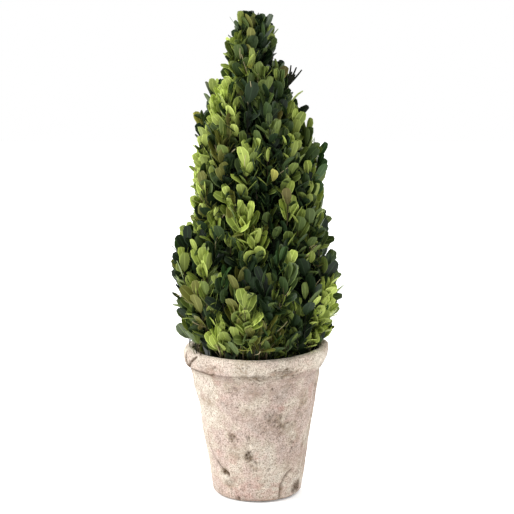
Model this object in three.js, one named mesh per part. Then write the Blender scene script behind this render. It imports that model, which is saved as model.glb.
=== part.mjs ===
// Boxwood cone topiary in an aged clay pot, in millimetres, +Z up.
// The origin is the middle of the pot's flat underside. The crown is clipped to a blunt cone
// and is made of foliage masses stacked round one leading stem, which stands on the soil.
import * as THREE from 'three';
import { ImprovedNoise } from 'three/addons/math/ImprovedNoise.js';

// ---- Driving dimensions ----

const PLANT_TOP = 508;

const POT_HEIGHT = 160;
const FOOT_RADIUS = 47; // the flat underside's edge, before its rounding
const SHOULDER_RADIUS = 68; // the body where it meets the rim band
const RIM_BAND = 20; // height of the folded band
const RIM_LOW_RADIUS = 71.5;
const RIM_RADIUS = 77; // the widest part of the band, just under the lip
const MOUTH_RADIUS = 64.5; // inside the lip
const WALL = 8;
const FLOOR = 12;
const FOOT_ROUND = 4;
const LIP_ROUND = 4.5;
const BAND_EDGE = 3; // rounding of the band's lower edge
const THROWN_WOBBLE = 0.9; // how far the hand-thrown wall strays from a true round
const OVAL_TURN = 0.7; // direction of the wall's oval stray, in radians
const THREE_LOBED_SHARE = 0.6; // of the oval stray, for the three-lobed one
const THREE_LOBED_TURN = 2.1;
const LIP_TURN = 0.4; // direction in which the lip dips

const SOIL_TOP = 146;
const SOIL_MOUND = 3; // how far the soil's top falls from the stem to the pot's wall
const SOIL_MARGIN = 2; // level ground round the stem's foot
const SOIL_LUMP = 1.8;
const SOIL_LUMP_SIZE = 14;
const SOIL_NOISE_LEVEL = 0.5; // the slice of the noise that the soil's lumps are taken from
const SEAT_GAP = 0.3; // between pieces that touch
const SIDE_GAP = 0.6; // between the soil and the pot's inner wall

const STEM_RADIUS = 7.5;
const STEM_TIP_RADIUS = 2.2;
const STEM_TOP = 482;
const ROOT_FLARE = 4.5; // added to the stem's radius at its flat cut
const ROOT_FLARE_HEIGHT = 7; // over which the flare falls to a third
const ROOT_LOBES = 5;
const LOBE_DEPTH = 0.24; // share of the radius lost between two lobes
const STEM_CROWDING = 1.6; // power that crowds the stem's levels towards its flare
const LEAN_X = -5; // the leading stem's lean at its tip
const LEAN_Y = 2;

const CROWN_RADIUS = 86; // at its waist
const WAIST = 246; // height of the widest level
const CROWN_FOOT = 161; // the lowest foliage outside the pot, just over the lip
const CROWN_FOOT_RADIUS = 73;
const NECK_RADIUS = 59.5; // the foliage inside the pot's mouth
const NECK_FOOT = 150;
const UNDERSIDE_RISE = 11; // the lowest mass is hollowed this much round the stem's foot
const MASS_GAP = 1; // between one mass and the next
const EDGE_NOTCH = 0.06; // share of the radius lost at a mass's upper and lower edges
const EDGE_SHARPNESS = 4; // power of the rounding towards those edges
const LUMP_DEPTH = 7; // of the clipped surface
const LUMP_SIZE = 30;
const LUMP_START = 12; // height over which the lumps grow in, above the crown's foot
const SEAM_RISE = 8; // each seam between masses is cupped: higher at its edge than at the stem
const SEAM_TILT = 0.15; // slope of the seams, each to its own side
const SEAM_TURN = 90; // height over which that side turns by one radian
const SEAM_WAVE = 2;
const SEAM_WAVE_SIZE = 60;
const SEAM_NOISE_LEVEL = 0.3;

// Each mass ends at its top, is fuller or thinner than the even cone at its foot and at its top,
// and sits off centre by its own shift.
const MASSES = [
  { name: 'foliage_skirt', top: 206, fullness: [1.0, 1.0], shift: [1, 1] },
  { name: 'foliage_lower', top: 274, fullness: [1.0, 1.0], shift: [-1.5, 0] },
  { name: 'foliage_middle', top: 380, fullness: [0.91, 1.06], shift: [6, 1] },
  { name: 'foliage_upper', top: 450, fullness: [1.06, 0.86], shift: [1.5, -1] },
  { name: 'foliage_tip', top: PLANT_TOP, fullness: [0.78, 1.25], shift: [2, 0] },
];
const LAST_SEAM = MASSES.at(-2).top;

const ROUND_SEGMENTS = 48;
const MASS_SEGMENTS = 32;
const STEM_SEGMENTS = 16;
const MASS_LEVELS = 7;
const SEAM_RINGS = 2;
const HOLE_STEPS = 2;
const STEM_LEVELS = 12;
const SOIL_RINGS = 3;
const CURVE_STEPS = 3;

// ---- Materials ----

function material(color, roughness) {
  return new THREE.MeshStandardMaterial({ color, roughness, metalness: 0 });
}

const agedClay = material('#cbb8a8', 0.95);
const darkSoil = material('#3b2c20', 1);
const bark = material('#6f5c45', 0.9);
const boxLeaves = material('#47562a', 0.6);

// ---- Shared shape functions ----

const perlin = new ImprovedNoise();
const { clamp, lerp, smoothstep } = THREE.MathUtils;

// A solid of revolution about +Z from a closed outline of (radius, height) points.
function revolve(outline, segments) {
  const profile = outline.map(([radius, height]) => new THREE.Vector2(radius, height));
  return new THREE.LatheGeometry(profile, segments).rotateX(Math.PI / 2);
}

// Moves every vertex of a geometry by a function of its place.
function reshape(geometry, move) {
  const places = geometry.getAttribute('position');
  const place = new THREE.Vector3();
  for (let i = 0; i < places.count; i++) {
    move(place.fromBufferAttribute(places, i));
    places.setXYZ(i, place.x, place.y, place.z);
  }
  geometry.computeVertexNormals();
  return geometry;
}

// The points of a path, as [radius, height] pairs.
function pointsOf(path) {
  return path.getPoints(CURVE_STEPS).map((point) => [point.x, point.y]);
}

// Even steps from one outline point to another, without the last.
function stepsBetween([r0, z0], [r1, z1], count) {
  return Array.from({ length: count }, (_, i) => [lerp(r0, r1, i / count), lerp(z0, z1, i / count)]);
}

// A thrown pot isn't quite round: the wall strays more towards the rim, and the lip dips a little.
function throwByHand(place) {
  const angle = Math.atan2(place.y, place.x);
  const share = smoothstep(place.z, FOOT_ROUND, POT_HEIGHT);
  const oval = Math.sin(2 * angle + OVAL_TURN);
  const threeLobed = THREE_LOBED_SHARE * (Math.sin(3 * angle + THREE_LOBED_TURN) - 1);
  const radius = Math.hypot(place.x, place.y);
  const scale = 1 + (THROWN_WOBBLE * share * (oval + threeLobed)) / Math.max(radius, 1);
  place.x *= scale;
  place.y *= scale;
  const nearRim = smoothstep(place.z, POT_HEIGHT - RIM_BAND, POT_HEIGHT);
  place.z -= (THROWN_WOBBLE / 2) * nearRim * (1 - Math.sin(2 * angle + LIP_TURN));
}

// ---- Pot and soil ----

const bandFoot = POT_HEIGHT - RIM_BAND;
const bandTop = POT_HEIGHT - LIP_ROUND;
const wallRadius = (z) => lerp(FOOT_RADIUS, SHOULDER_RADIUS, z / bandFoot);
const innerRadius = (z) => wallRadius(z) - WALL;
const bandRadius = (z) => lerp(RIM_LOW_RADIUS, RIM_RADIUS, (z - bandFoot) / (bandTop - bandFoot));

function potGeometry() {
  const edgeTop = bandFoot + BAND_EDGE;
  const outline = new THREE.Path();
  outline.moveTo(0, 0);
  outline.lineTo(FOOT_RADIUS - FOOT_ROUND, 0);
  outline.quadraticCurveTo(FOOT_RADIUS, 0, wallRadius(FOOT_ROUND), FOOT_ROUND);
  outline.lineTo(wallRadius(bandFoot / 2), bandFoot / 2);
  outline.lineTo(SHOULDER_RADIUS, bandFoot);
  outline.quadraticCurveTo(RIM_LOW_RADIUS, bandFoot, bandRadius(edgeTop), edgeTop);
  outline.lineTo(RIM_RADIUS, bandTop);
  outline.quadraticCurveTo(RIM_RADIUS, POT_HEIGHT, RIM_RADIUS - LIP_ROUND, POT_HEIGHT);
  outline.quadraticCurveTo(MOUTH_RADIUS, POT_HEIGHT, MOUTH_RADIUS, bandTop);
  outline.lineTo(innerRadius(bandFoot), bandFoot);
  outline.lineTo(innerRadius(bandFoot / 2), bandFoot / 2);
  outline.lineTo(innerRadius(FLOOR), FLOOR);
  outline.lineTo(0, FLOOR);
  return reshape(revolve(pointsOf(outline), ROUND_SEGMENTS), throwByHand);
}

// The soil fills the pot to its own rough top, which is level round the stem's foot.
function soilGeometry() {
  const base = FLOOR + SEAT_GAP;
  const level = STEM_RADIUS + ROOT_FLARE + SOIL_MARGIN;
  const sideAt = (z) => [innerRadius(z) - SIDE_GAP, z];
  const outline = [
    [0, base],
    sideAt(base),
    sideAt(bandFoot / 2),
    sideAt(bandFoot),
    ...stepsBetween(sideAt(SOIL_TOP - SOIL_MOUND), [level, SOIL_TOP], SOIL_RINGS),
    [level, SOIL_TOP],
    [0, SOIL_TOP],
  ];
  return reshape(revolve(outline, ROUND_SEGMENTS), (place) => {
    throwByHand(place);
    const radius = Math.hypot(place.x, place.y);
    const onTop = place.z > SOIL_TOP - 2 * SOIL_MOUND ? smoothstep(radius, level, 2 * level) : 0;
    const [across, along] = [place.x / SOIL_LUMP_SIZE, place.y / SOIL_LUMP_SIZE];
    place.z += SOIL_LUMP * onTop * perlin.noise(across, along, SOIL_NOISE_LEVEL);
  });
}

// ---- Stem ----

const stemFoot = SOIL_TOP + SEAT_GAP;

function stemRadius(z) {
  const flare = ROOT_FLARE * Math.exp(-(z - stemFoot) / ROOT_FLARE_HEIGHT);
  return lerp(STEM_RADIUS, STEM_TIP_RADIUS, (z - stemFoot) / (STEM_TOP - stemFoot)) + flare;
}

// The stem's centre at a height: upright at its foot and leaning slowly towards its tip.
function leanAt(z) {
  const share = smoothstep(z, stemFoot, STEM_TOP);
  return [LEAN_X * share, LEAN_Y * Math.sin(Math.PI * share)];
}

function followLean(place) {
  const [x, y] = leanAt(place.z);
  place.x += x;
  place.y += y;
}

function stemGeometry() {
  const side = Array.from({ length: STEM_LEVELS + 1 }, (_, i) => {
    const z = lerp(stemFoot, STEM_TOP, (i / STEM_LEVELS) ** STEM_CROWDING);
    return [stemRadius(z), z];
  });
  const outline = [[0, stemFoot], ...side, [0, STEM_TOP + STEM_TIP_RADIUS]];
  return reshape(revolve(outline, STEM_SEGMENTS), (place) => {
    const angle = Math.atan2(place.y, place.x);
    const flare = Math.exp(-(place.z - stemFoot) / ROOT_FLARE_HEIGHT);
    const scale = 1 - (LOBE_DEPTH / 2) * flare * (1 - Math.cos(ROOT_LOBES * angle));
    place.x *= scale;
    place.y *= scale;
    followLean(place);
  });
}

// ---- Foliage masses ----

// The clipped outline: a blunt cone above its waist, drawn in a little towards the pot below it.
function crownRadius(z) {
  if (z >= WAIST) {
    return CROWN_RADIUS * Math.sqrt(Math.max(0, (PLANT_TOP - z) / (PLANT_TOP - WAIST)));
  }
  const below = (WAIST - z) / (WAIST - CROWN_FOOT);
  return CROWN_RADIUS - (CROWN_RADIUS - CROWN_FOOT_RADIUS) * below ** 2;
}

const holeRadius = (z) => stemRadius(z) + SEAT_GAP;

// The outer surface of one mass, from its lower edge to its upper one, rounded in at both.
function massSurface(low, high, fullness, isTip) {
  return Array.from({ length: MASS_LEVELS + 1 }, (_, i) => {
    const u = isTip ? Math.sin((Math.PI / 2) * (i / MASS_LEVELS)) : i / MASS_LEVELS;
    const z = lerp(low, high, u);
    const edge = isTip && u > 0.5 ? 0 : Math.abs(2 * u - 1) ** EDGE_SHARPNESS;
    return [crownRadius(z) * lerp(...fullness, u) * (1 - EDGE_NOTCH * edge), z];
  });
}

const onStem = (z) => [holeRadius(z), z];

// The underside of a mass, from the stem outwards.
// The lowest one is hollowed, and reaches into the pot's mouth.
function massUnderside(low, edge, isSkirt) {
  if (!isSkirt) return stepsBetween(onStem(low), [edge, low], SEAM_RINGS);
  const neck = [NECK_RADIUS, NECK_FOOT];
  return [...stepsBetween(onStem(NECK_FOOT + UNDERSIDE_RISE), neck, SEAM_RINGS), neck, [NECK_RADIUS, low]];
}

// One mass's closed outline, round the stem's hole, or over the stem's end for the tip.
function massOutline(low, high, fullness) {
  const isTip = high === PLANT_TOP;
  const surface = massSurface(low, high, fullness, isTip);
  const below = massUnderside(low, surface[0][0], low === CROWN_FOOT);
  const top = isTip ? STEM_TOP : high;
  const hole = stepsBetween(onStem(top), below[0], HOLE_STEPS);
  const above = isTip
    ? [[0, STEM_TOP + STEM_TIP_RADIUS + SEAT_GAP]]
    : stepsBetween(surface[MASS_LEVELS], onStem(high), SEAM_RINGS).slice(1);
  return [...below, ...surface, ...above, ...hole, below[0]];
}

// Lumps and the mass's own shift move its surface, and nothing at the stem.
function growUneven(place, shift) {
  const radius = Math.hypot(place.x, place.y);
  const hole = holeRadius(place.z);
  const fromStem = clamp((radius - hole) / Math.max(crownRadius(place.z) - hole, 1), 0, 1);
  const overLip = smoothstep(place.z, CROWN_FOOT, CROWN_FOOT + LUMP_START);
  const belowTip = 1 - smoothstep(place.z, STEM_TOP, PLANT_TOP);
  const share = fromStem * overLip * belowTip;
  const [x, y, z] = place.toArray().map((coordinate) => coordinate / LUMP_SIZE);
  const scale = 1 + (LUMP_DEPTH * share * perlin.noise(x, y, z)) / Math.max(radius, 1);
  place.x = place.x * scale + shift[0] * share;
  place.y = place.y * scale + shift[1] * share;
}

// The seams between masses are cupped, tilted and a little wavy.
// All masses share this warp, so they still meet.
function cupSeams(place) {
  const radius = Math.hypot(place.x, place.y);
  const aboveFoot = smoothstep(place.z, CROWN_FOOT, MASSES[0].top);
  const belowTip = 1 - smoothstep(place.z, LAST_SEAM, PLANT_TOP);
  const nearStem = smoothstep(radius, STEM_RADIUS, 2 * STEM_RADIUS);
  const cup = SEAM_RISE * ((radius - STEM_RADIUS) / Math.max(crownRadius(place.z), 1) - 0.5);
  const turn = place.z / SEAM_TURN;
  const tilt = SEAM_TILT * (place.x * Math.cos(turn) + place.y * Math.sin(turn));
  const [x, y] = [place.x / SEAM_WAVE_SIZE, place.y / SEAM_WAVE_SIZE];
  const wave = SEAM_WAVE * perlin.noise(x, y, SEAM_NOISE_LEVEL);
  place.z += aboveFoot * belowTip * nearStem * (cup + tilt + wave);
}

function massGeometry(low, high, fullness, shift) {
  return reshape(revolve(massOutline(low, high, fullness), MASS_SEGMENTS), (place) => {
    growUneven(place, shift);
    cupSeams(place);
    followLean(place);
  });
}

// ---- Assembly ----

const topiary = new THREE.Group();

function addPiece(name, geometry, finish) {
  const mesh = new THREE.Mesh(geometry, finish);
  mesh.name = name;
  topiary.add(mesh);
}

addPiece('pot', potGeometry(), agedClay);
addPiece('soil', soilGeometry(), darkSoil);
addPiece('stem', stemGeometry(), bark);

MASSES.forEach(({ name, top, fullness, shift }, i) => {
  const low = i === 0 ? CROWN_FOOT : MASSES[i - 1].top + MASS_GAP;
  addPiece(name, massGeometry(low, top, fullness, shift), boxLeaves);
});

export default topiary;
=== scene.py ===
"""The looks of a boxwood cone topiary in an aged clay pot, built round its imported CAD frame.

Lengths are in metres, or in mm where a comment says so. The crown's outline and the stem are read
from the frame. The plant grows by a seeded rule: boughs from the stem, branches from the boughs,
sprigs from the branches, and opposite pairs of leaves along each sprig.

A place on the pot or the crown is named by its azimuth in degrees, where 0 is +X and -90 is the
front, and by its height in mm.
"""
import math
import random
from collections import namedtuple

import bpy
import numpy as np
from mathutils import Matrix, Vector, noise
from mathutils.bvhtree import BVHTree
from mathutils.kdtree import KDTree


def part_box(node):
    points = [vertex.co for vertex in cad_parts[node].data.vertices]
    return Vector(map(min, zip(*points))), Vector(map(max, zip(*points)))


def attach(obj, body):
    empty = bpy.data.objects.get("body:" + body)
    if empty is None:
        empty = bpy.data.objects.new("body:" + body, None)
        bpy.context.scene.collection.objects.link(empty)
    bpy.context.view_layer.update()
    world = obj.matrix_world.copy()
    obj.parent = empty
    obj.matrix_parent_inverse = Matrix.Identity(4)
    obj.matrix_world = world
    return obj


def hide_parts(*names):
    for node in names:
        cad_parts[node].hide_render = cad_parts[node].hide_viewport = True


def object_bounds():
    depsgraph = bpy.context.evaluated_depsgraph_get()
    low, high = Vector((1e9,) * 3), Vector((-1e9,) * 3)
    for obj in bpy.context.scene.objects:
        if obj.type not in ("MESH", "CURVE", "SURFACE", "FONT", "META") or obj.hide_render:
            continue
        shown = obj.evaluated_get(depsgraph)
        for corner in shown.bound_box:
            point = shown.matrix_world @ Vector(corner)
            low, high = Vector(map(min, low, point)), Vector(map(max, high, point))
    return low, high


MM = 0.001
GOLDEN_ANGLE = math.pi * (3 - math.sqrt(5))
UP = Vector((0, 0, 1))

MASSES = ["foliage_skirt", "foliage_lower", "foliage_middle", "foliage_upper", "foliage_tip"]

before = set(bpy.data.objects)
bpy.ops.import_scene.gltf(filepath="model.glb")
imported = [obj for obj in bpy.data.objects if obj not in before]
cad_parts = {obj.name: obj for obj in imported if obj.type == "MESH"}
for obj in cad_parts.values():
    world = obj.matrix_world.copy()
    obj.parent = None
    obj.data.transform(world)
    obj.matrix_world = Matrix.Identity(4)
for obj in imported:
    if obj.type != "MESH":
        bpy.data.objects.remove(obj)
cad_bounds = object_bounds()


# ---- Shared functions ----


def srgb(red, green, blue):
    """A display colour of 0 to 255 as linear red, green, blue and alpha."""
    linear = []
    for part in (red, green, blue):
        value = part / 255
        linear.append(value / 12.92 if value <= 0.04045 else ((value + 0.055) / 1.055) ** 2.4)
    return (*linear, 1.0)


def blend_between(low, high, share):
    return low + (high - low) * share


def smooth_share(value, low, high):
    """0 below low and 1 above high, with a smooth rise between. Numbers or arrays."""
    share = np.clip((value - low) / (high - low), 0.0, 1.0)
    return share * share * (3 - 2 * share)


def unit(vectors):
    return vectors / np.maximum(np.linalg.norm(vectors, axis=-1, keepdims=True), 1e-12)


def outward(angle):
    return Vector((math.cos(angle), math.sin(angle), 0))


def random_vector(rng):
    return Vector((rng.gauss(0, 1), rng.gauss(0, 1), rng.gauss(0, 1)))


def noise_field(points, size, shift=0.0):
    """Smooth noise between about -1 and 1 at each point, in lumps of that size."""
    places = (points / size + shift).tolist()
    return np.array([noise.noise(place) for place in places])


def noise_layers(points, shape, layers):
    """A grid of noise for each layer, which is a size in mm and a shift."""
    return [noise_field(points, size * MM, shift).reshape(shape) for size, shift in layers]


def add_object(name, data):
    item = bpy.data.objects.new(name, data)
    bpy.context.scene.collection.objects.link(item)
    return item


class MeshParts:
    """Gathers the points and faces of any number of shapes, to be joined in one mesh."""

    def __init__(self):
        self.points = []
        self.faces = {3: [], 4: []}
        self.finishes = {3: [], 4: []}
        self.count = 0

    def add(self, points, *face_sets):
        """Each face set is an array of 3 or 4 columns, and one finish or one for each face."""
        for faces, finish in face_sets:
            corners = faces.shape[1]
            self.faces[corners].append(faces + self.count)
            self.finishes[corners].append(np.broadcast_to(finish, len(faces)))
        self.points.append(points)
        self.count += len(points)

    def add_shape(self, points, quads, fans, finish=0):
        self.add(points, (quads, finish), (fans, finish))


def mesh_piece(name, parts, materials, sharp=None, fields=None):
    """One smooth-shaded object from gathered parts, which have both triangles and quads.

    Edges between two sharp points stay sharp. Fields are numbers for each point, by name, that
    the materials may read.
    """
    points = np.concatenate(parts.points)
    mesh = bpy.data.meshes.new(name)
    mesh.vertices.add(len(points))
    mesh.vertices.foreach_set("co", points.astype(np.float32).ravel())
    loops, starts, finishes = [], [], []
    start = 0
    for corners in (3, 4):
        faces = np.concatenate(parts.faces[corners])
        loops.append(faces.ravel())
        starts.append(start + corners * np.arange(len(faces)))
        finishes += parts.finishes[corners]
        start += corners * len(faces)
    loops = np.concatenate(loops)
    starts = np.concatenate(starts)
    mesh.loops.add(len(loops))
    mesh.loops.foreach_set("vertex_index", loops.astype(np.int32))
    mesh.polygons.add(len(starts))
    mesh.polygons.foreach_set("loop_start", starts.astype(np.int32))
    mesh.polygons.foreach_set("material_index", np.concatenate(finishes).astype(np.int32))
    mesh.polygons.foreach_set("use_smooth", np.ones(len(starts), bool))
    for material in materials:
        mesh.materials.append(material)
    mesh.update(calc_edges=True)
    if sharp is not None:
        mark_sharp(mesh, sharp)
    for field, values in (fields or {}).items():
        attribute = mesh.attributes.new(field, "FLOAT", "POINT")
        attribute.data.foreach_set("value", values.astype(np.float32))
    mesh.validate()
    return add_object(name, mesh)


def mark_sharp(mesh, sharp):
    ends = np.empty(2 * len(mesh.edges), np.int32)
    mesh.edges.foreach_get("vertices", ends)
    ends = ends.reshape(-1, 2)
    attribute = mesh.attributes.new("sharp_edge", "BOOLEAN", "EDGE")
    attribute.data.foreach_set("value", sharp[ends[:, 0]] & sharp[ends[:, 1]])


def settle(piece, slot, *nodes):
    """Rides a piece on the one body and lets it stand for its CAD nodes. The slot is not used."""
    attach(piece, "root")
    for node in nodes:
        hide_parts(node)


# ---- Materials ----


def plain_material(name, color, roughness, specular=0.5):
    material = bpy.data.materials.new(name)
    material.use_nodes = True
    shader = material.node_tree.nodes["Principled BSDF"]
    shader.inputs["Base Color"].default_value = color
    shader.inputs["Roughness"].default_value = roughness
    shader.inputs["Specular IOR Level"].default_value = specular
    return material


def grey(value):
    return (value, value, value, 1)


def range_node(tree, low, high, start, end):
    """A node that turns low to high into start to end."""
    node = tree.nodes.new("ShaderNodeMapRange")
    for name, number in zip(("From Min", "From Max", "To Min", "To Max"), (low, high, start, end)):
        node.inputs[name].default_value = number
    return node


class Pattern:
    """Short calls that build the nodes of one patterned material."""

    def __init__(self, name, roughness, specular):
        self.material = plain_material(name, grey(1), roughness, specular)
        self.tree = self.material.node_tree
        self.shader = self.tree.nodes["Principled BSDF"]
        self.place = self.tree.nodes.new("ShaderNodeTexCoord").outputs["Object"]

    def node(self, kind, **inputs):
        """A new node, with each named input set to a number or linked to another output."""
        node = self.tree.nodes.new(kind)
        for name, value in inputs.items():
            self.feed(value, node.inputs[name.replace("_", " ")])
        return node

    def feed(self, value, socket):
        if isinstance(value, bpy.types.NodeSocket):
            self.tree.links.new(value, socket)
        else:
            socket.default_value = value

    def stretched(self, tall):
        """The place, with the pattern that many times as tall."""
        node = self.node("ShaderNodeMapping", Vector=self.place)
        node.inputs["Scale"].default_value = (1, 1, 1 / tall)
        return node.outputs["Vector"]

    def noise(self, size, detail, place=None):
        place = place or self.place
        return self.node("ShaderNodeTexNoise", Vector=place, Scale=1 / size, Detail=detail).outputs["Fac"]

    def cells(self, size):
        """The distance from the nearest of scattered points, as a share of the spacing."""
        return self.node("ShaderNodeTexVoronoi", Vector=self.place, Scale=1 / size).outputs["Distance"]

    def field(self, name):
        node = self.tree.nodes.new("ShaderNodeAttribute")
        node.attribute_name = name
        return node.outputs["Fac"]

    def steps(self, value, *stops):
        """Colours by value: each stop is a position and a colour."""
        node = self.node("ShaderNodeValToRGB", Fac=value)
        ramp = node.color_ramp
        while len(ramp.elements) < len(stops):
            ramp.elements.new(0.5)
        for element, (position, color) in zip(ramp.elements, stops):
            element.position = position
            element.color = color
        return node.outputs["Color"]

    def share(self, value, low, high, start=0.0, end=1.0):
        """start below low and end above high, with a smooth change between."""
        node = range_node(self.tree, low, high, start, end)
        node.interpolation_type = "SMOOTHSTEP"
        self.feed(value, node.inputs["Value"])
        return node.outputs["Result"]

    def math(self, operation, first, second):
        node = self.tree.nodes.new("ShaderNodeMath")
        node.operation = operation
        self.feed(first, node.inputs[0])
        self.feed(second, node.inputs[1])
        return node.outputs["Value"]

    def times(self, first, second):
        return self.math("MULTIPLY", first, second)

    def mix(self, share, first, second, blend="MIX"):
        node = self.tree.nodes.new("ShaderNodeMix")
        node.data_type = "RGBA"
        node.blend_type = blend
        color_inputs = [socket for socket in node.inputs if socket.type == "RGBA"]
        self.feed(share, node.inputs[0])
        self.feed(first, color_inputs[0])
        self.feed(second, color_inputs[1])
        return next(socket for socket in node.outputs if socket.type == "RGBA")

    def shaded(self, color, value, *stops):
        """The colour multiplied by the shade that each stop gives at its value."""
        return self.mix(1.0, color, self.steps(value, *stops), "MULTIPLY")

    def finish(self, color, height, relief):
        """Sets the colour and a bump of that relief."""
        self.feed(color, self.shader.inputs["Base Color"])
        bump = self.node("ShaderNodeBump", Height=height, Distance=relief, Strength=1.0)
        self.tree.links.new(bump.outputs["Normal"], self.shader.inputs["Normal"])
        return self.material


# the palest colour, also a painted highlight on the lip's crest
CLAY_PALE_HIGHLIGHT = srgb(216, 207, 192)
CLAY_PALE = srgb(199, 190, 177)
CLAY_CREAM = srgb(190, 178, 164)
CLAY_PINK = srgb(184, 166, 156)
CLAY_GREY = srgb(170, 159, 149)
CLAY_BLUSH = srgb(174, 138, 126)
# the stain colour, also painted shade down the right side and along the band's edge
CLAY_STAIN_AND_SHADE = srgb(122, 102, 78)
# the darkest colour: dirt, and also painted shade and shadow
CLAY_DIRT_AND_SHADE = srgb(74, 58, 42)
CLAY_SPECK = srgb(118, 102, 86)
PATCH_SIZE = 34 * MM
SPECKLED_PATCH_SIZE = 17 * MM
BLOTCH_SIZE = 9 * MM
CLOUD_SIZE = 6 * MM
SPECK_SPACING = 5.5 * MM
STAIN_BREAK_SIZE = 5 * MM
GRAIN_SIZE = 1.8 * MM
FLECK_SIZE = 1.15 * MM
CLAY_RELIEF = 0.7 * MM


def clay_base(clay):
    """Whitewash rubbed thin over pinkish clay, with blushes of the clay, a paler band face, and a painted
    highlight in patches along the lip's crest.
    """
    color = clay.steps(
        clay.noise(PATCH_SIZE, 5),
        (0.3, CLAY_GREY), (0.43, CLAY_PINK), (0.52, CLAY_CREAM), (0.62, CLAY_PALE), (0.74, CLAY_PINK),
    )
    blotches = clay.noise(BLOTCH_SIZE, 4, clay.stretched(0.7))
    color = clay.mix(clay.share(blotches, 0.52, 0.7, 0, 0.4), color, CLAY_GREY)
    color = clay.mix(clay.times(clay.field("blush"), clay.share(blotches, 0.36, 0.6)), color, CLAY_BLUSH)
    return clay.mix(clay.field("highlight_and_paling"), color, CLAY_PALE_HIGHLIGHT)


def clay_marks_and_shade(clay, color, grain, fleck):
    """Stains and specks over a colour, and darker hollows and grimy marks, partly real and partly painted
    shade and shadow: down the right side, along and under the band's edge, and round the foot.
    """
    broken = clay.share(clay.noise(STAIN_BREAK_SIZE, 4), 0.38, 0.6, 0.25, 1)
    cover = clay.times(clay.share(fleck, 0.4, 0.6, 0.2, 1), broken)
    # stains, some of them painted shade down the pot's right side and along the band's edge
    color = clay.mix(clay.times(clay.field("stain_and_shade"), cover), color, CLAY_STAIN_AND_SHADE)
    dots = clay.share(clay.cells(SPECK_SPACING), 0.1, 0.2, 1, 0)
    specks = clay.times(dots, clay.share(clay.noise(SPECKLED_PATCH_SIZE, 2), 0.5, 0.6))
    color = clay.mix(clay.times(specks, 0.65), color, CLAY_SPECK)
    # darker in hollows, partly dirt and partly painted shade, with painted shadow under the band and round
    # the foot; grimy marks, partly painted shade down the right side and along the band's edge
    hollow_darkening = clay.times(clay.field("hollow"), clay.share(grain, 0.3, 0.55, 0.4, 1))
    grime_and_shade = clay.times(clay.field("grime_and_shade"), clay.share(fleck, 0.42, 0.56))
    return clay.mix(clay.math("MAXIMUM", hollow_darkening, grime_and_shade), color, CLAY_DIRT_AND_SHADE)


def clay_material():
    clay = Pattern("aged_clay", 0.93, 0.15)
    grain = clay.noise(GRAIN_SIZE, 3)
    fleck = clay.noise(FLECK_SIZE, 2)
    color = clay_marks_and_shade(clay, clay_base(clay), grain, fleck)
    color = clay.shaded(color, clay.noise(CLOUD_SIZE, 4), (0.36, (0.89, 0.87, 0.85, 1)), (0.6, grey(1.05)))
    color = clay.shaded(color, grain, (0.32, (0.7, 0.68, 0.65, 1)), (0.48, grey(0.95)), (0.66, grey(1.09)))
    color = clay.shaded(color, fleck, (0.31, (0.42, 0.4, 0.37, 1)), (0.46, grey(0.97)), (0.64, grey(1.2)))
    return clay.finish(color, clay.math("ADD", grain, clay.times(fleck, 0.5)), CLAY_RELIEF)


def soil_material():
    """Dark potting soil: fine fibres and crumbs."""
    soil = Pattern("potting_soil", 0.95, 0.2)
    grain = soil.noise(1.8 * MM, 4)
    color = soil.steps(grain, (0.35, srgb(24, 17, 12)), (0.52, srgb(52, 38, 27)), (0.68, srgb(92, 70, 48)))
    damp = soil.share(soil.noise(16 * MM, 2), 0.4, 0.62, 0, 0.5)
    color = soil.mix(damp, color, srgb(28, 20, 15))
    return soil.finish(color, grain, 0.8 * MM)


def bark_material():
    """Greyish tan bark with fine upright furrows and a little green in them."""
    bark = Pattern("bark", 0.88, 0.2)
    furrows = bark.noise(1.5 * MM, 4, bark.stretched(5))
    color = bark.steps(
        furrows, (0.36, srgb(58, 45, 33)), (0.5, srgb(112, 94, 72)), (0.66, srgb(150, 134, 108))
    )
    moss = bark.share(bark.noise(11 * MM, 3), 0.55, 0.7, 0, 0.4)
    color = bark.mix(moss, color, srgb(96, 100, 62))
    return bark.finish(color, furrows, 0.9 * MM)


# ---- Round shapes ----


def resample(outline, smoothing):
    """Rings at even steps between the corners of an outline of (radius, height, rings) in mm.

    Smoothing rounds the corners off. The rings come back as radii and heights in metres.
    """
    radii, heights = [outline[0][0]], [outline[0][1]]
    for (r0, z0, _), (r1, z1, rings) in zip(outline, outline[1:]):
        for i in range(1, rings + 1):
            radii.append(blend_between(r0, r1, i / rings))
            heights.append(blend_between(z0, z1, i / rings))
    rings = MM * np.array([radii, heights])
    for _ in range(smoothing):
        rings[:, 1:-1] = (rings[:, :-2] + 2 * rings[:, 1:-1] + rings[:, 2:]) / 4
    return rings


def side_angles(sides):
    return np.arange(sides) * math.tau / sides


def turned_grid(rings, sides):
    """Angles, radii and heights of the points of a turned shape, one row for each ring."""
    angles = side_angles(sides)
    radii, heights = (np.repeat(values[:, None], sides, 1) for values in rings)
    return np.repeat(angles[None], len(radii), 0), radii, heights


def round_points(angles, radii, heights):
    return np.stack([radii * np.cos(angles), radii * np.sin(angles), heights], axis=-1).reshape(-1, 3)


def ring_faces(rings, sides):
    """The quads between rings of points, and the fans from the two end points that come after."""
    i = np.arange(rings - 1)[:, None] * sides
    j = np.arange(sides)[None, :]
    k = (j + 1) % sides
    quads = np.stack([i + j, i + k, i + sides + k, i + sides + j], axis=-1).reshape(-1, 4)
    j, k = j.ravel(), k.ravel()
    first, last, top = rings * sides, rings * sides + 1, (rings - 1) * sides
    start_fan = np.stack([np.full(sides, first), k, j], axis=-1)
    end_fan = np.stack([np.full(sides, last), top + j, top + k], axis=-1)
    return quads, np.concatenate([start_fan, end_fan])


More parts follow.
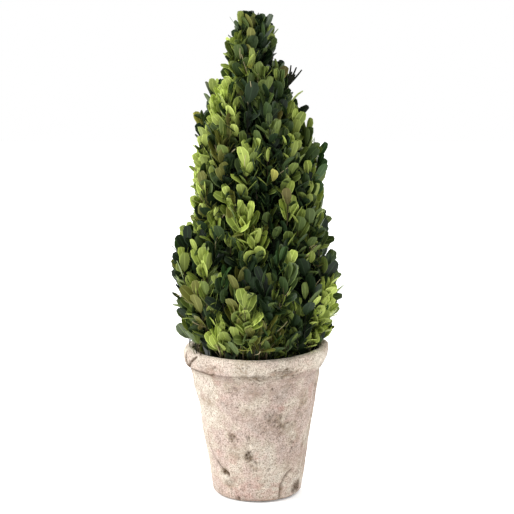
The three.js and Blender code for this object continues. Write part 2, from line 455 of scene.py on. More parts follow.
def turned_shape(angles, radii, heights):
    """Points, quads and fans of a closed turned shape, with a point in the middle of each end."""
    ends = np.array([[0, 0, heights[0].mean()], [0, 0, heights[-1].mean()]])
    return np.concatenate([round_points(angles, radii, heights), ends]), *ring_faces(*angles.shape)


RING_GUIDE = (0.31, 0.94, 0.17)  # the rings of every tube start square to this direction


def tube(points, radii, sides):
    """Points, quads and fans of a closed tube along a path, with a radius for each path point."""
    path = np.array(points)
    tangents = unit(np.gradient(path, axis=0))
    side = unit(np.cross(tangents, RING_GUIDE))
    over = np.cross(side, tangents)
    angles = side_angles(sides)
    ring = np.cos(angles)[None, :, None] * side[:, None] + np.sin(angles)[None, :, None] * over[:, None]
    rings = (path[:, None] + radii[:, None, None] * ring).reshape(-1, 3)
    caps = [path[0] - 0.4 * radii[0] * tangents[0], path[-1] + 0.6 * radii[-1] * tangents[-1]]
    quads, fans = ring_faces(len(path), sides)
    return np.concatenate([rings, caps]), quads[:, [0, 3, 2, 1]], fans[:, [0, 2, 1]]


# ---- The pot: its outline and its marks, all in mm ----

POT_SEED = 5
POT_SIDES = 360
POT_SMOOTHING = 3
WALL_ARC = 60  # mean radius of the wall, by which azimuths become lengths
POT_HEIGHT = 160
BAND_EDGE = 141  # height of the rim band's lower edge

# From the middle of the underside, up the wall, over the lip and down inside: radius, height,
# and the number of rings on the way there.
POT_OUTLINE = [
    (2, 0, 1), (43.4, 0, 6), (47.4, 3.6, 6), (66.9, 133, 110), (68.0, 138.8, 8), (71.8, 141.4, 7),
    (75.4, 150, 11), (76.2, 155, 6), (75.2, 158.8, 5), (72, 160.4, 5), (68, 159.6, 5), (65.2, 156.4, 5),
    (63.4, 150, 6), (60.4, 139, 8), (40.8, 12, 20), (2, 12, 6),
]

# Grooves: path, depth, width, and how far the wall is sunk on the path's right.
GROOVES = [
    ([(-171, 96), (-167, 84)], 0.3, 1.4, 0.2),
    ([(-167, 84), (-163, 73)], 0.7, 1.6, 0.7),
    ([(-163, 73), (-158, 63)], 1.2, 1.8, 1.4),
    ([(-158, 63), (-152, 49), (-147, 42.5), (-139, 37.5), (-133, 33.5)], 1.8, 2.1, 2.2),
    ([(-133, 33.5), (-127, 29.5)], 2.2, 2.6, 2.2),
    ([(-127, 29.5), (-112, 22), (-105, 17)], 0.45, 1.6, 0.6),
    ([(-60, 3), (-60.5, 16), (-58.4, 21.5), (-55, 28), (-52, 31), (-46, 34)], 1.0, 1.9, 1.1),
    ([(-180, 140), (-165, 140.6), (-153, 141), (-140, 142), (-131, 140.2), (-127.5, 142.5)], 1.1, 1.5, 0.0),
    ([(-127.5, 142.5), (-122, 141), (-105, 142), (-84, 143.6)], 0.75, 1.3, 0.0),
    ([(-84, 143.6), (-58, 143), (-39, 145), (-21, 144.5), (-8, 142)], 0.5, 1.3, 0.0),
    ([(-163, 142), (-157, 147), (-152, 151.5), (-147, 157)], 1.5, 1.7, 0.7),
    ([(-163, 142), (-163.5, 149), (-165, 157)], 1.5, 1.4, 0.0),
    ([(-6, 161), (-9, 155), (-10, 149), (-14, 143), (-17, 139)], 1.0, 1.3, 0.3),
    ([(-29, 68), (-31, 54)], 0.7, 1.3, 0.0),
    ([(-80, 61), (-70, 68)], 0.4, 1.2, 0.0),
    ([(-96, 142), (-90, 145), (-84, 144)], 0.8, 1.2, 0.0),
    ([(38, 150), (52, 118), (60, 84), (74, 58)], 0.6, 1.3, 0.7),
    ([(118, 6), (124, 40), (140, 62)], 0.7, 1.5, 0.9),
]
SUNK_FALL = 11  # over which a sunk side of a groove comes back to the wall

# Where the wall stands proud of an even pot: place, half width and half height, and by how much.
SWELLS = [
    (180, 143, 52, 13, 4.0), (180, 119, 50, 15, 2.6), (0, 142, 40, 5, -1.6), (180, 74, 30, 14, 1.2),
]
LIP_RISE = 3.2  # the lip is higher on its right
CHIP_RISE = 2.6
LIP_CHIP = (-4, POT_HEIGHT, 9, 12, 1.0)  # a mark, where the lip stands up in a rough chip
SOFT_BAND_EDGE = (-60, BAND_EDGE, 46, 14, 0.7)  # a mark, where the band runs into the wall
SOFT_EDGE_FILL = 1.9

# Single pits: place, width and depth. Rough patches: place, reach and number of pits.
PITS = [
    (-99, 57, 2.3, 1.7), (-101.5, 54.5, 2.5, 1.9), (-100.5, 51, 2.0, 1.6), (-97.5, 49, 1.8, 1.3),
    (-97, 58.5, 1.6, 1.2), (-118, 74, 2.6, 1.2), (-127, 62, 3.0, 0.9), (-48, 59, 2.4, 0.9),
    (-76, 128.6, 2.2, 1.3), (-118, 110, 2.0, 0.9), (-110, 94, 2.4, 0.9), (-134, 30, 3.2, 1.6),
    (-129, 17, 3.2, 0.8), (-125, 151, 2.0, 1.2), (-140, 148, 2.8, 0.9), (-114, 4, 4.0, 1.2),
    (-45, 103, 2.4, 0.7),
]
ROUGH_PATCHES = [
    (-99, 53, 5, 34), (-94, 46, 6, 12), (-28, 12, 7, 70), (-68, 147, 9, 40), (-60, 145, 6, 16),
    (-117, 73, 6, 30), (-72, 92, 15, 46), (-64, 84, 14, 32), (-36, 12, 7, 40), (-127, 20, 7, 16),
    (6, 160, 6, 30), (-113, 128, 9, 18), (-48, 62, 9, 20), (-152, 150, 7, 14), (-100, 74, 5, 10),
    (-130, 151, 8, 14), (-18, 120, 9, 24), (-30, 30, 8, 16), (-92, 40, 6, 10), (-90, 141, 12, 26),
    (20, 40, 9, 24), (65, 120, 10, 26), (100, 60, 9, 24), (150, 100, 9, 22), (85, 20, 8, 20),
    (125, 140, 8, 18),
]
PATCH_PIT_WIDTH = (0.8, 1.8)
PATCH_PIT_DEPTH = (0.5, 1.3)
MORE_PITS = 330
PIT_WIDTH = (1.3, 2.8)
PIT_DEPTH = (0.2, 0.8)

# Grime, stains and pink blushes: place, half width, half height and strength. Some of the grime and stains
# are painted shade: down the pot's right side, along the band's lower edge and beside the slab at the lower
# left.
GRIME_AND_SHADE = [
    (-28, 12, 7, 8, 1.0), (-99, 54, 4, 6, 0.8), (8, 161, 5, 4, 1.0), (-131, 32, 7, 3.5, 1.0),
    (-68, 147, 11, 3, 0.7), (-88, 142, 14, 1.5, 0.7), (-117, 73, 4, 4, 0.6), (-74, 93, 13, 6, 0.15),
    (-62, 84, 14, 6, 0.15), (-164, 143, 3, 3, 1.0), (-153, 52, 3, 12, 0.5), (-22, 50, 4, 26, 0.35),
    (-34, 12, 8, 9, 0.9), (-9, 147, 7, 9, 0.9), (-8, 56, 4, 34, 0.25), (-122, 24, 8, 4, 0.5),
    (-112, 96, 4, 3, 0.4), (-165, 150, 3, 9, 0.9), (-4, 163, 7, 5, 1.0),
]
STAINS_AND_SHADE = [
    (-72, 93, 17, 10, 0.7), (-61, 84, 16, 10, 0.7), (-80, 86, 12, 8, 0.5), (-68, 146, 15, 5, 1.0),
    (-92, 141, 16, 3, 1.0), (-28, 12, 10, 9, 1.0), (-99, 53, 7, 8, 0.9), (-93, 44, 9, 8, 0.7),
    (-127, 19, 12, 6, 0.7), (7, 160, 8, 6, 1.0), (-20, 158, 12, 3, 0.7), (-117, 73, 7, 7, 0.8),
    (-114, 130, 13, 8, 0.7), (-45, 72, 10, 10, 0.6), (-76, 128, 9, 9, 0.5), (-59, 17, 3, 16, 1.0),
    (-92, 2, 40, 3, 0.7), (-163, 144, 5, 7, 1.0), (-31, 60, 4, 9, 0.7), (-60, 132, 14, 9, 0.5),
    (-50, 40, 12, 14, 0.4), (-100, 100, 12, 10, 0.4), (-133, 32, 9, 5, 1.0), (-10, 122, 12, 24, 0.9),
    (-13, 84, 9, 26, 0.8), (-7, 40, 11, 30, 0.9),
]
BLUSHES = [
    (-66, 107, 5, 6, 0.6), (-118, 47, 9, 8, 0.4), (-88, 53, 8, 6, 0.7), (-74, 146, 6, 3, 0.6),
    (-62, 146, 6, 3, 0.6), (-129, 18, 10, 6, 0.4), (-90, 14, 62, 26, 0.4), (-30, 120, 6, 12, 0.4),
    (-100, 30, 10, 6, 0.3), (-138, 52, 7, 5, 0.4), (-156, 152, 7, 4, 0.4),
]
MORE_MARKS = 34  # stains, and as many blushes, on the pot's sides and back
MARK_SIZE = (5, 14)
MORE_STAIN_STRENGTH = (0.3, 0.9)
MORE_BLUSH_STRENGTH = (0.15, 0.5)

# Noise over the wall, from broad to fine: size and shift, and how much of each is relief.
WALL_LAYERS = ((48, 3.1), (15, 7.7), (4.6, 1.3), (2.2, 5.9))
WALL_RELIEF = (0.7, 0.55, 0.26, 0.16)
SOFT_EDGE_LAYER = (40, 11.3)
INSIDE_RELIEF = 0.35  # as a share of the outside's
DARKENING_DEPTH = 1.1  # darkening, partly dirt and partly painted shade, goes from none to all over this depth of a hollow
DARKENING_START = 0.25  # and starts at this share of it
# the lip's crest is paler in patches over about this many rings, a painted highlight, and the band's face is
# paler by this share
LIP_HIGHLIGHT_RINGS = 4
BAND_PALING = 0.32
UNDER_BAND_WIDTH = 3.4
EDGE_REACH = 9  # how far from the band's edge it still waves
FOOT_REACH = 7


def arc(angles, azimuth):
    """Lengths along the wall from an azimuth in degrees, in mm."""
    turns = (angles - math.radians(azimuth)) / math.tau
    return (turns - np.round(turns)) * math.tau * WALL_ARC


def groove_sides(angles, heights, path):
    """The distance from a path on the wall, and the same with a minus sign on its right."""
    nearest = np.full(angles.shape, 1e9)
    signed = np.full(angles.shape, 1e9)
    for (azimuth, low), (next_azimuth, high) in zip(path, path[1:]):
        run, rise = (next_azimuth - azimuth) * math.tau / 360 * WALL_ARC, high - low
        across, up = arc(angles, azimuth), heights - low
        share = np.clip((across * run + up * rise) / (run**2 + rise**2), 0, 1)
        distance = np.hypot(across - share * run, up - share * rise)
        side = np.sign(run * up - rise * across)
        closer = distance < nearest
        nearest = np.where(closer, distance, nearest)
        signed = np.where(closer, distance * side, signed)
    return nearest, signed


def scattered(rng, count, *ranges):
    """Seeded places on the pot's wall, each with a number from each range."""
    rows = []
    for i in range(count):
        azimuth = math.degrees(i * GOLDEN_ANGLE) + rng.uniform(-20, 20)
        rows.append((azimuth, rng.uniform(3, POT_HEIGHT - 5), *(rng.uniform(*span) for span in ranges)))
    return rows


def mark_distance(angles, heights, azimuth, height, half_width, half_height):
    """The distance from a mark's middle, as a share of its half width and half height."""
    return np.hypot(arc(angles, azimuth) / half_width, (heights - height) / half_height)


def mark_field(angles, heights, marks):
    """How strongly the marks cover each point of the wall, from 0 to 1."""
    cover = np.zeros(angles.shape)
    for *place, strength in marks:
        distance = mark_distance(angles, heights, *place)
        cover = np.maximum(cover, strength * (1 - smooth_share(distance, 0.35, 1.25)))
    return cover


def swelling(angles, heights):
    """How far the wall stands proud of an even pot, in mm."""
    proud = np.zeros(angles.shape)
    for *place, amount in SWELLS:
        proud += amount * np.exp(-(mark_distance(angles, heights, *place) ** 2))
    return proud


def patch_pits(rng):
    """Small pits crowded round each rough patch's middle."""
    pits = []
    for azimuth, height, reach, count in ROUGH_PATCHES:
        for _ in range(count):
            across, up = rng.gauss(0, 0.5 * reach), rng.gauss(0, 0.45 * reach)
            place = (azimuth + math.degrees(across / WALL_ARC), height + up)
            pits.append((*place, rng.uniform(*PATCH_PIT_WIDTH), rng.uniform(*PATCH_PIT_DEPTH)))
    return pits


def dents(angles, heights, rough):
    """The depth in mm of grooves and pits at each point of the wall, and of the sunk ground."""
    rng = random.Random(POT_SEED)
    pits = PITS + patch_pits(rng) + scattered(rng, MORE_PITS, PIT_WIDTH, PIT_DEPTH)
    depth = np.zeros(angles.shape)
    for azimuth, height, width, deep in pits:
        distance = np.hypot(arc(angles, azimuth), heights - height) * (1 + 0.5 * rough)
        depth = np.maximum(depth, deep * (1 - smooth_share(distance, 0.2 * width, width)))
    sunk = np.zeros(angles.shape)
    for path, deep, width, sunk_side in GROOVES:
        distance, signed = groove_sides(angles, heights, path)
        depth = np.maximum(depth, deep * np.exp(-((distance * (1 + 0.4 * rough) / width) ** 2)))
        beside = np.where(signed < 0, np.exp(-distance / SUNK_FALL), np.exp(-((distance / 0.8) ** 2)))
        sunk = np.maximum(sunk, sunk_side * beside * (distance < 3 * SUNK_FALL))
    return depth, sunk


class Wall:
    """The even pot's surface: the noise and dents at each of its points, by ring and side."""

    def __init__(self, angles, radii, heights):
        points = round_points(angles, radii, heights)
        self.angles = angles
        self.tall = heights / MM
        self.rings = np.arange(len(angles))[:, None]
        self.lip = int(np.argmax(heights[:, 0]))
        self.outside = self.rings <= self.lip
        self.layers = noise_layers(points, angles.shape, WALL_LAYERS)
        self.broad, self.lumps, self.rough, _ = self.layers
        self.depth, self.sunk = dents(angles, self.tall, self.rough)
        self.under_band = np.exp(-(((self.tall - BAND_EDGE + 2) / UNDER_BAND_WIDTH) ** 2))
        self.soft_edge = smooth_share(noise_layers(points, angles.shape, [SOFT_EDGE_LAYER])[0], -0.1, 0.35)

    def marked(self, marks):
        return mark_field(self.angles, self.tall, marks)

    def relief(self):
        """How far each point moves out from the pot's axis."""
        relief = sum(weight * layer for weight, layer in zip(WALL_RELIEF, self.layers))
        relief = relief - self.depth - self.sunk + swelling(self.angles, self.tall)
        soft_edge = np.maximum(self.soft_edge, self.marked([SOFT_BAND_EDGE]))
        return relief + SOFT_EDGE_FILL * soft_edge * self.under_band

    def rise(self):
        """How far each point moves up: the band's edge and the lip wave, and the foot is rubbed down."""
        near_edge = np.exp(-(((self.tall - BAND_EDGE) / EDGE_REACH) ** 2))
        rise = near_edge * (1.2 * self.lumps + 0.6 * self.broad)
        near_lip = smooth_share(self.tall, BAND_EDGE, POT_HEIGHT - 2)
        chip = CHIP_RISE * self.marked([LIP_CHIP]) * (1 + 0.6 * self.rough)
        higher_right = LIP_RISE * np.maximum(np.cos(self.angles), 0)
        rise += near_lip * (0.5 * self.broad + 0.35 * self.lumps + higher_right + chip)
        foot = (1 - smooth_share(self.tall, 0, FOOT_REACH)) * (self.rings > 6)
        rise += foot * np.maximum(0, 0.8 * self.lumps + 0.5 * self.rough)
        return rise * (self.rings <= self.lip + 6)

    def fields(self, outer):
        """The numbers by which the clay's material places its stains, blushes, darker hollows and grimy
        marks, and its pale lip and band: partly real marks, partly painted shade and shadow and a painted
        highlight.
        """
        rng = random.Random(POT_SEED + 1)
        more_stains = scattered(rng, MORE_MARKS, MARK_SIZE, MARK_SIZE, MORE_STAIN_STRENGTH)
        more_blushes = scattered(rng, MORE_MARKS, MARK_SIZE, MARK_SIZE, MORE_BLUSH_STRENGTH)
        # painted shadow: a dark line round the foot where it meets the floor, and under the band's edge
        foot_shadow = 1 - smooth_share(self.tall + self.rough, 0.5, 2.6)
        edge_shadows = (0.3 * self.under_band + 1.0 * foot_shadow) * self.outside
        # painted highlight in patches along the lip's crest
        near_lip = np.exp(-(((self.rings - self.lip) / LIP_HIGHLIGHT_RINGS) ** 2))
        lip_highlight = near_lip * smooth_share(self.lumps, -0.5, 0.3)
        return {
            "hollow": np.clip(self.depth / DARKENING_DEPTH - DARKENING_START, 0, 1) * (outer > 0.5) + edge_shadows,
            "grime_and_shade": self.marked(GRIME_AND_SHADE),
            "highlight_and_paling": np.maximum(lip_highlight, BAND_PALING * smooth_share(self.tall, 142, 149)),
            "stain_and_shade": self.marked(STAINS_AND_SHADE + more_stains),
            "blush": self.marked(BLUSHES + more_blushes),
        }


def build_pot():
    angles, radii, heights = turned_grid(resample(POT_OUTLINE, POT_SMOOTHING), POT_SIDES)
    wall = Wall(angles, radii, heights)
    outer = np.where(wall.outside, 1.0, INSIDE_RELIEF) * smooth_share(heights, 0, 2 * MM)
    parts = MeshParts()
    parts.add_shape(*turned_shape(angles, radii + wall.relief() * outer * MM, heights + wall.rise() * MM))
    fields = {name: np.append(values.ravel(), [0, 0]) for name, values in wall.fields(outer).items()}
    settle(mesh_piece("clay_pot", parts, [clay_material()], fields=fields), "aged_clay", "pot")


# ---- The soil ----

SOIL_SEED = 9
SOIL_SIDES = 180
# Radius and height in mm, and rings, as for the pot.
SOIL_OUTLINE = [(2, 146, 1), (14, 146, 9), (62.4, 143.2, 38), (59.2, 132.6, 2), (41.2, 12.4, 8), (2, 12.4, 3)]
SOIL_LAYERS = ((14, 2.2), (5, 8.1), (2, 4.4))
CRUMBS = 300
CRUMB_SPREAD = (14 * MM, 60 * MM)  # how far from the pot's axis
CRUMB_SIZE = (1.0 * MM, 2.8 * MM)
CRUMB_RINGS = 4
CRUMB_SIDES = 7


def crumb(place, size, rng):
    """Points, quads and fans of a small uneven lump."""
    polar = np.pi * (np.arange(CRUMB_RINGS) + 0.5) / CRUMB_RINGS
    ball = turned_grid((np.sin(polar) * size, -np.cos(polar) * size), CRUMB_SIDES)
    points, quads, fans = turned_shape(*ball)
    stretch = np.array([rng.uniform(0.7, 1.5), rng.uniform(0.6, 1.1), rng.uniform(0.5, 0.9)])
    points = points * stretch * (1 + 0.35 * noise_field(points, 0.9 * size, rng.uniform(0, 50)))[:, None]
    turn = rng.uniform(0, math.tau)
    cos, sin = math.cos(turn), math.sin(turn)
    points = points @ np.array([[cos, sin, 0], [-sin, cos, 0], [0, 0, 1]])
    return points + place, quads, fans


def build_soil():
    angles, radii, heights = turned_grid(resample(SOIL_OUTLINE, 1), SOIL_SIDES)
    lumps, rough, fine = noise_layers(round_points(angles, radii, heights), angles.shape, SOIL_LAYERS)
    on_top = smooth_share(heights, 140 * MM, 142 * MM)
    from_stem = smooth_share(radii, 8 * MM, 16 * MM)
    heights = heights + on_top * (1.4 * from_stem * lumps + 0.9 * rough + 0.6 * fine - 0.4) * MM
    points, quads, fans = turned_shape(angles, radii, heights)
    parts = MeshParts()
    parts.add_shape(points, quads, fans)
    surface = BVHTree.FromPolygons(points.tolist(), quads.tolist())
    rng = random.Random(SOIL_SEED)
    for i in range(CRUMBS):
        reach = blend_between(*CRUMB_SPREAD, math.sqrt(rng.random()))
        x, y = reach * math.cos(i * GOLDEN_ANGLE), reach * math.sin(i * GOLDEN_ANGLE)
        hit = surface.ray_cast(Vector((x, y, 0.2)), -UP)[0]
        size = rng.uniform(*CRUMB_SIZE)
        parts.add_shape(*crumb(np.array(hit) + (0, 0, 0.2 * size), size, rng))
    settle(mesh_piece("soil_surface", parts, [soil_material()]), "potting_soil", "soil")


# ---- The crown's outline and the stem, read from the frame ----

OUTLINE_LEVELS = 90
OUTLINE_SIDES = 48
CAST_FROM = 0.3  # the casts that find the outline start this far out from the stem
SEAM_REACH = 3 * MM  # the casts step over the seams between masses
CROWN_FOOT = 162 * MM
TIP_DEPTH = 10 * MM  # no sprig's place is nearer the crown's top


class Stem:
    """The stem's centre and radius at any height, from the rings of its CAD solid."""

    def __init__(self):
        points = np.array([vertex.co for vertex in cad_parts["stem"].data.vertices])
        heights = np.round(points[:, 2], 4)
        self.levels = np.unique(heights)
        rings = [points[heights == level] for level in self.levels]
        self.centres = np.array([(ring.min(0) + ring.max(0)) / 2 for ring in rings])
        self.radii = np.array([np.ptp(ring[:, 0]) / 2 for ring in rings])
        self.foot = self.levels[0]
        self.top = self.levels[-1]

    def centre(self, height):
        x, y = (float(np.interp(height, self.levels, self.centres[:, axis])) for axis in (0, 1))
        return x, y

    def radius(self, height):
        return float(np.interp(height, self.levels, self.radii))


class Crown:
    """The crown's radius round the stem, at any azimuth and height, from the CAD masses."""

    def __init__(self, stem):
        self.stem = stem
        self.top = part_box("foliage_tip")[1].z
        self.foot = CROWN_FOOT
        self.heights = np.linspace(self.foot, self.top, OUTLINE_LEVELS)
        self.radii = self.cast_outline(self.mass_tree())

    @staticmethod
    def mass_tree():
        points, faces = [], []
        for node in MASSES:
            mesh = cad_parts[node].data
            start = len(points)
            points.extend(vertex.co.copy() for vertex in mesh.vertices)
            faces.extend([start + i for i in polygon.vertices] for polygon in mesh.polygons)
        return BVHTree.FromPolygons(points, faces)

    def cast_outline(self, tree):
        radii = np.zeros((OUTLINE_LEVELS, OUTLINE_SIDES))
        for i, height in enumerate(self.heights):
            x, y = self.stem.centre(height)
            for j in range(OUTLINE_SIDES):
                out = outward(math.tau * j / OUTLINE_SIDES)
                for shift in (-SEAM_REACH, 0, SEAM_REACH):
                    start = Vector((x, y, height + shift)) + CAST_FROM * out
                    hit = tree.ray_cast(start, -out, CAST_FROM)
                    if hit[3] is not None:
                        radii[i, j] = max(radii[i, j], CAST_FROM - hit[3])
        radii[-1] = 0
        return radii

    def radius(self, angle, height):
        """Interpolated between the cast radii."""
        level = np.clip((height - self.foot) / (self.top - self.foot), 0, 1) * (OUTLINE_LEVELS - 1)
        side = (angle / math.tau % 1) * OUTLINE_SIDES
        i, j = int(min(level, OUTLINE_LEVELS - 2)), int(side) % OUTLINE_SIDES
        u, v = level - i, side - int(side)
        k = (j + 1) % OUTLINE_SIDES
        low = blend_between(self.radii[i, j], self.radii[i, k], v)
        high = blend_between(self.radii[i + 1, j], self.radii[i + 1, k], v)
        return float(blend_between(low, high, u))

    def surface_height(self, share):
        """The height below which that share of the crown's surface lies."""
        mean = self.radii.mean(axis=1)
        rise = np.hypot(np.diff(mean), np.diff(self.heights))
        area = np.concatenate([[0], np.cumsum(rise * (mean[1:] + mean[:-1]) / 2)])
        return float(np.interp(share * area[-1], area, self.heights))

    def point(self, angle, height, depth, rise=0.0):
        """The point that lies that deep inside the surface, as wide as the crown is a rise above."""
        x, y = self.stem.centre(height)
        surface = self.radius(angle, min(height + rise, self.top))
        radius = max(surface - depth, 1 * MM)
        return Vector((x + radius * math.cos(angle), y + radius * math.sin(angle), height))

    def overhang(self, place):
        """How far a place lies outside the crown's outline, and less than 0 inside it."""
        centre = self.stem.centre(place.z)
        x, y = place.x - centre[0], place.y - centre[1]
        height = min(max(place.z, self.foot), self.top - TIP_DEPTH)
        return math.hypot(x, y) - self.radius(math.atan2(y, x), height)


# ---- Growth: boughs, branches and sprigs ----

GROWTH_SEED = 11

BOUGHS = 44
BOUGH_ENDS = (6 * MM, 20 * MM)  # how near the boughs come to the stem's foot and to its top
BOUGH_LENGTH = (0.85, 0.6)  # of the lowest and the highest, as a share of the crown's radius
BOUGH_CLIMB = (0.35, 0.75)  # share of that length by which a bough climbs
BOUGH_REACH = 0.62  # share of the crown's radius at which a bough ends
BOUGH_THICKNESS = 0.42  # share of the stem's radius
BOUGH_TAPER = 0.45
BOUGH_ROOM = (4 * MM, 12 * MM)  # between the boughs' ends and the crown's foot, and its top
BRANCHES = 260
BRANCH_DEPTH = 34 * MM
BRANCH_DROP = 14 * MM  # a branch starts from the bough nearest to this far below its end
BRANCH_INSET = 10 * MM  # and this far in
BRANCH_RADII = (1.3 * MM, 0.9 * MM)
OUTER_SPRIGS = 500
INNER_SPRIGS = 420
SPRIG_LENGTH = (30 * MM, 50 * MM)
LEAF_REACH = 12 * MM  # the sprig's wood ends this deep, and its last leaves reach the surface
INNER_DEPTH = 15 * MM  # the inner sprigs lie this much deeper
INNER_SHADE = 3.4  # and their tone is this much darker
LEAF_RISE = 12 * MM  # how far the last leaves reach above their sprig's wood
LEAF_RISE_FALL = (70 * MM, 15 * MM)  # it falls to 0 between these depths under the crown's top

# How steeply sprigs rise, and by how much they vary in that and to the side, in radians.
SPRIG_RISE_LOW = math.radians(66)
SPRIG_RISE_TOP = math.radians(84)
RISE_SPREAD = 0.2
SWING_SPREAD = 0.3
SPRIG_ROOT = 6 * MM  # a sprig starts from the branch nearest to this far behind its leafy part
SPRIG_SAG = 0.07  # and bows out and down by this share of its length
SPRIG_SWAY = 0.03  # and at random by this share
TUFT_SIZE = 30 * MM  # sprigs stand in tufts of about this size
TUFT_DEPTH = 11 * MM  # which stand proud or lie back by no more than about this
DEPTH_SPREAD = 5.5 * MM

# Short sprigs that fill the pot's mouth behind its lip. Heights, reach and length are in mm.
COLLAR_SPRIGS = 96
COLLAR_HEIGHT = (160, 178)
COLLAR_REACH = (42, 58)
COLLAR_RISE = (40, 72)  # in degrees
COLLAR_LENGTH = (22, 30)
COLLAR_TONE = (2.3, 1.2)  # mean and spread

# A sprig's tone goes from 0 for the darkest tint to 6 for the brightest.
TONE_MEAN = 2.05
TONE_SPREAD = 1.35
PATCH_TONE = 1.7  # how much a patch of the crown is lighter or darker than the next
PATCH_REACH = 38 * MM
PATCH_SHIFT = Vector((5, 1, 8))
PAINTED_SIDE_LIGHT = 0.9  # painted light: how much lighter the two sides are than the front and the back, where the lamps fall
PAINTED_LEFT_LIGHT = 0.2  # and how much lighter the left is, painted light from the key lamp on the left
HOLLOW_SHADE = 3.9
PAINTED_FOOT_LIGHT = 0.35  # painted light: how much lighter the crown is at its foot, and where that ends
PAINTED_FOOT_LIGHT_ENDS = (200 * MM, 290 * MM)
UPPER_SHADE = 0.3
UPPER_SHADE_ENDS = (370 * MM, 400 * MM)
TIP_SHADE = 1.1
TIP_SHADE_REACH = 50 * MM
LIGHTEST = 4.8  # tone of the lightest sprigs outside the clusters
MARKED = 0.4  # a sprig takes a mark's tint or tone where its nearness is above this

# Marks on the crown start with their azimuth, and their height and reach in mm.
# Light clusters that stand out: place, reach and tone. They are partly paler leaves and partly painted light
# on leaves that face the lamps.
CLUSTERS = [
    (-145, 427, 21, 6.0), (-155, 414, 13, 5.8), (-102, 456, 7, 5.0), (-145, 468, 8, 4.2),
    (-74, 446, 9, 4.2), (-166, 362, 12, 5.8), (-162, 342, 12, 5.7), (-156, 324, 13, 5.7),
    (-151, 306, 13, 5.8), (-128, 374, 14, 3.8), (-96, 364, 9, 4.8), (-75, 362, 7, 4.2),
    (-50, 372, 9, 4.8), (-58, 335, 6, 5.0), (-101, 303, 12, 5.4), (-93, 281, 11, 5.3),
    (-52, 306, 6, 4.2), (-25, 292, 8, 4.4), (-63, 257, 7, 5.6), (-35, 266, 10, 4.9),
    (-24, 216, 15, 6.3), (-33, 206, 10, 6.2), (-13, 212, 11, 6.2), (-146, 220, 8, 5.4),
    (-98, 206, 10, 4.8), (-122, 186, 14, 5.5), (-86, 190, 13, 3.9), (-170, 254, 8, 4.2),
    (-18, 318, 6, 4.4), (-20, 436, 9, 0.4), (30, 250, 14, 5.0), (75, 330, 12, 5.2), (120, 210, 14, 5.0),
    (170, 290, 9, 4.8), (60, 440, 10, 5.2), (140, 400, 12, 4.8), (50, 190, 10, 4.8), (95, 270, 9, 4.8),
    (155, 340, 9, 4.8), (15, 410, 9, 4.6),
]
LIGHT_CLUSTER = 4.5  # from this tone on, a cluster also lightens the even sprigs in it
CLUSTER_SPRIG = 6.2  # reach in mm that one sprig fills
CLUSTER_SPREAD = 0.75  # share of a cluster's reach over which its sprigs spread
CLUSTER_RISE = 5 * MM  # clusters stand proud, half as much at the sides
CLUSTER_DEPTH_SPREAD = 1.5 * MM
CLUSTER_TONE_SPREAD = 0.35
# Places where most leaves have one of the odd tints.
OLIVE_PLACES = [
    (-130, 368, 18), (-132, 234, 16), (-94, 256, 8), (-90, 490, 20), (-84, 192, 14), (40, 300, 20),
    (150, 240, 18),
]
COOL_PLACES = [(-74, 268, 17), (-75, 332, 20), (-86, 404, 14), (100, 350, 20)]
# Dark hollows: sprigs lie deeper there, and their leaves are darker, painted shade.
DARK_HOLLOWS = [
    (-80, 334, 29), (-65, 296, 12), (-85, 226, 13), (-112, 254, 11), (-52, 262, 9), (-138, 199, 10),
    (-40, 240, 13), (-70, 278, 13), (-95, 396, 17), (-105, 409, 14), (-60, 421, 12), (-45, 350, 9),
    (-60, 484, 14), (-128, 272, 12), (-86, 264, 9), (-70, 318, 20), (-78, 340, 16), (60, 280, 18),
    (140, 350, 16), (100, 400, 12),
]
HOLLOW_DEPTH = 7 * MM
# Places where the foliage is clipped closer than its CAD masses.
TRIMS = [
    (-4, 328, 34), (-4, 464, 16), (-178, 180, 12), (-178, 440, 30), (-178, 288, 18), (-4, 256, 22),
    (-176, 212, 14), (-176, 400, 10), (-2, 220, 12), (-174, 238, 12), (-6, 500, 18), (-176, 500, 14),
    (-176, 252, 12),
]
TRIM_DEPTH = 13 * MM
# Sprigs that stand out of the clipped outline: azimuth, height, how far in mm they reach beyond
# their neighbours, and tone.
STRAYS = [
    (-8, 362, 9, 4.2), (180, 206, 4, 3.0), (184, 262, 5, 1.5), (-4, 214, 6, 3.0), (-172, 224, 5, 2.6),
    (176, 428, 5, 3.0), (-4, 386, 5, 3.6), (-176, 396, 4, 1.5), (-168, 459, 5, 4.4),
    (-150, 497, 4, 2.6), (-40, 497, 3, 1.6), (-4, 236, 5, 2.5), (-120, 470, 4, 3.0), (60, 390, 7, 3.0),
    (110, 240, 8, 3.0), (150, 320, 7, 3.0),
]
STRAY_LENGTH = 44 * MM

# A limb or twig: its points, and its radius at both ends.
Shoot = namedtuple("Shoot", "points start_radius end_radius")
# A leafy shoot: its curve, where its end is, its tone, and its odd tint if it has one.
Sprig = namedtuple("Sprig", "points angle height tone odd stray", defaults=(None, False))


def curve_points(start, bend, end, steps):
    """A quadratic curve from start to end, drawn towards bend."""
    points = []
    for i in range(steps + 1):
        t = i / steps
        points.append((1 - t) ** 2 * start + 2 * t * (1 - t) * bend + t * t * end)
    return points


def sprig_rise(crown, height):
    share = min(max((height - crown.foot) / (crown.top - crown.foot), 0), 1)
    return blend_between(SPRIG_RISE_LOW, SPRIG_RISE_TOP, share**0.7)


def leaf_rise(crown, height):
    """How far a sprig's last leaves reach above its wood: less at the crown's tip."""
    start, end = LEAF_RISE_FALL
    return LEAF_RISE * (1 - float(smooth_share(height, crown.top - start, crown.top - end)))


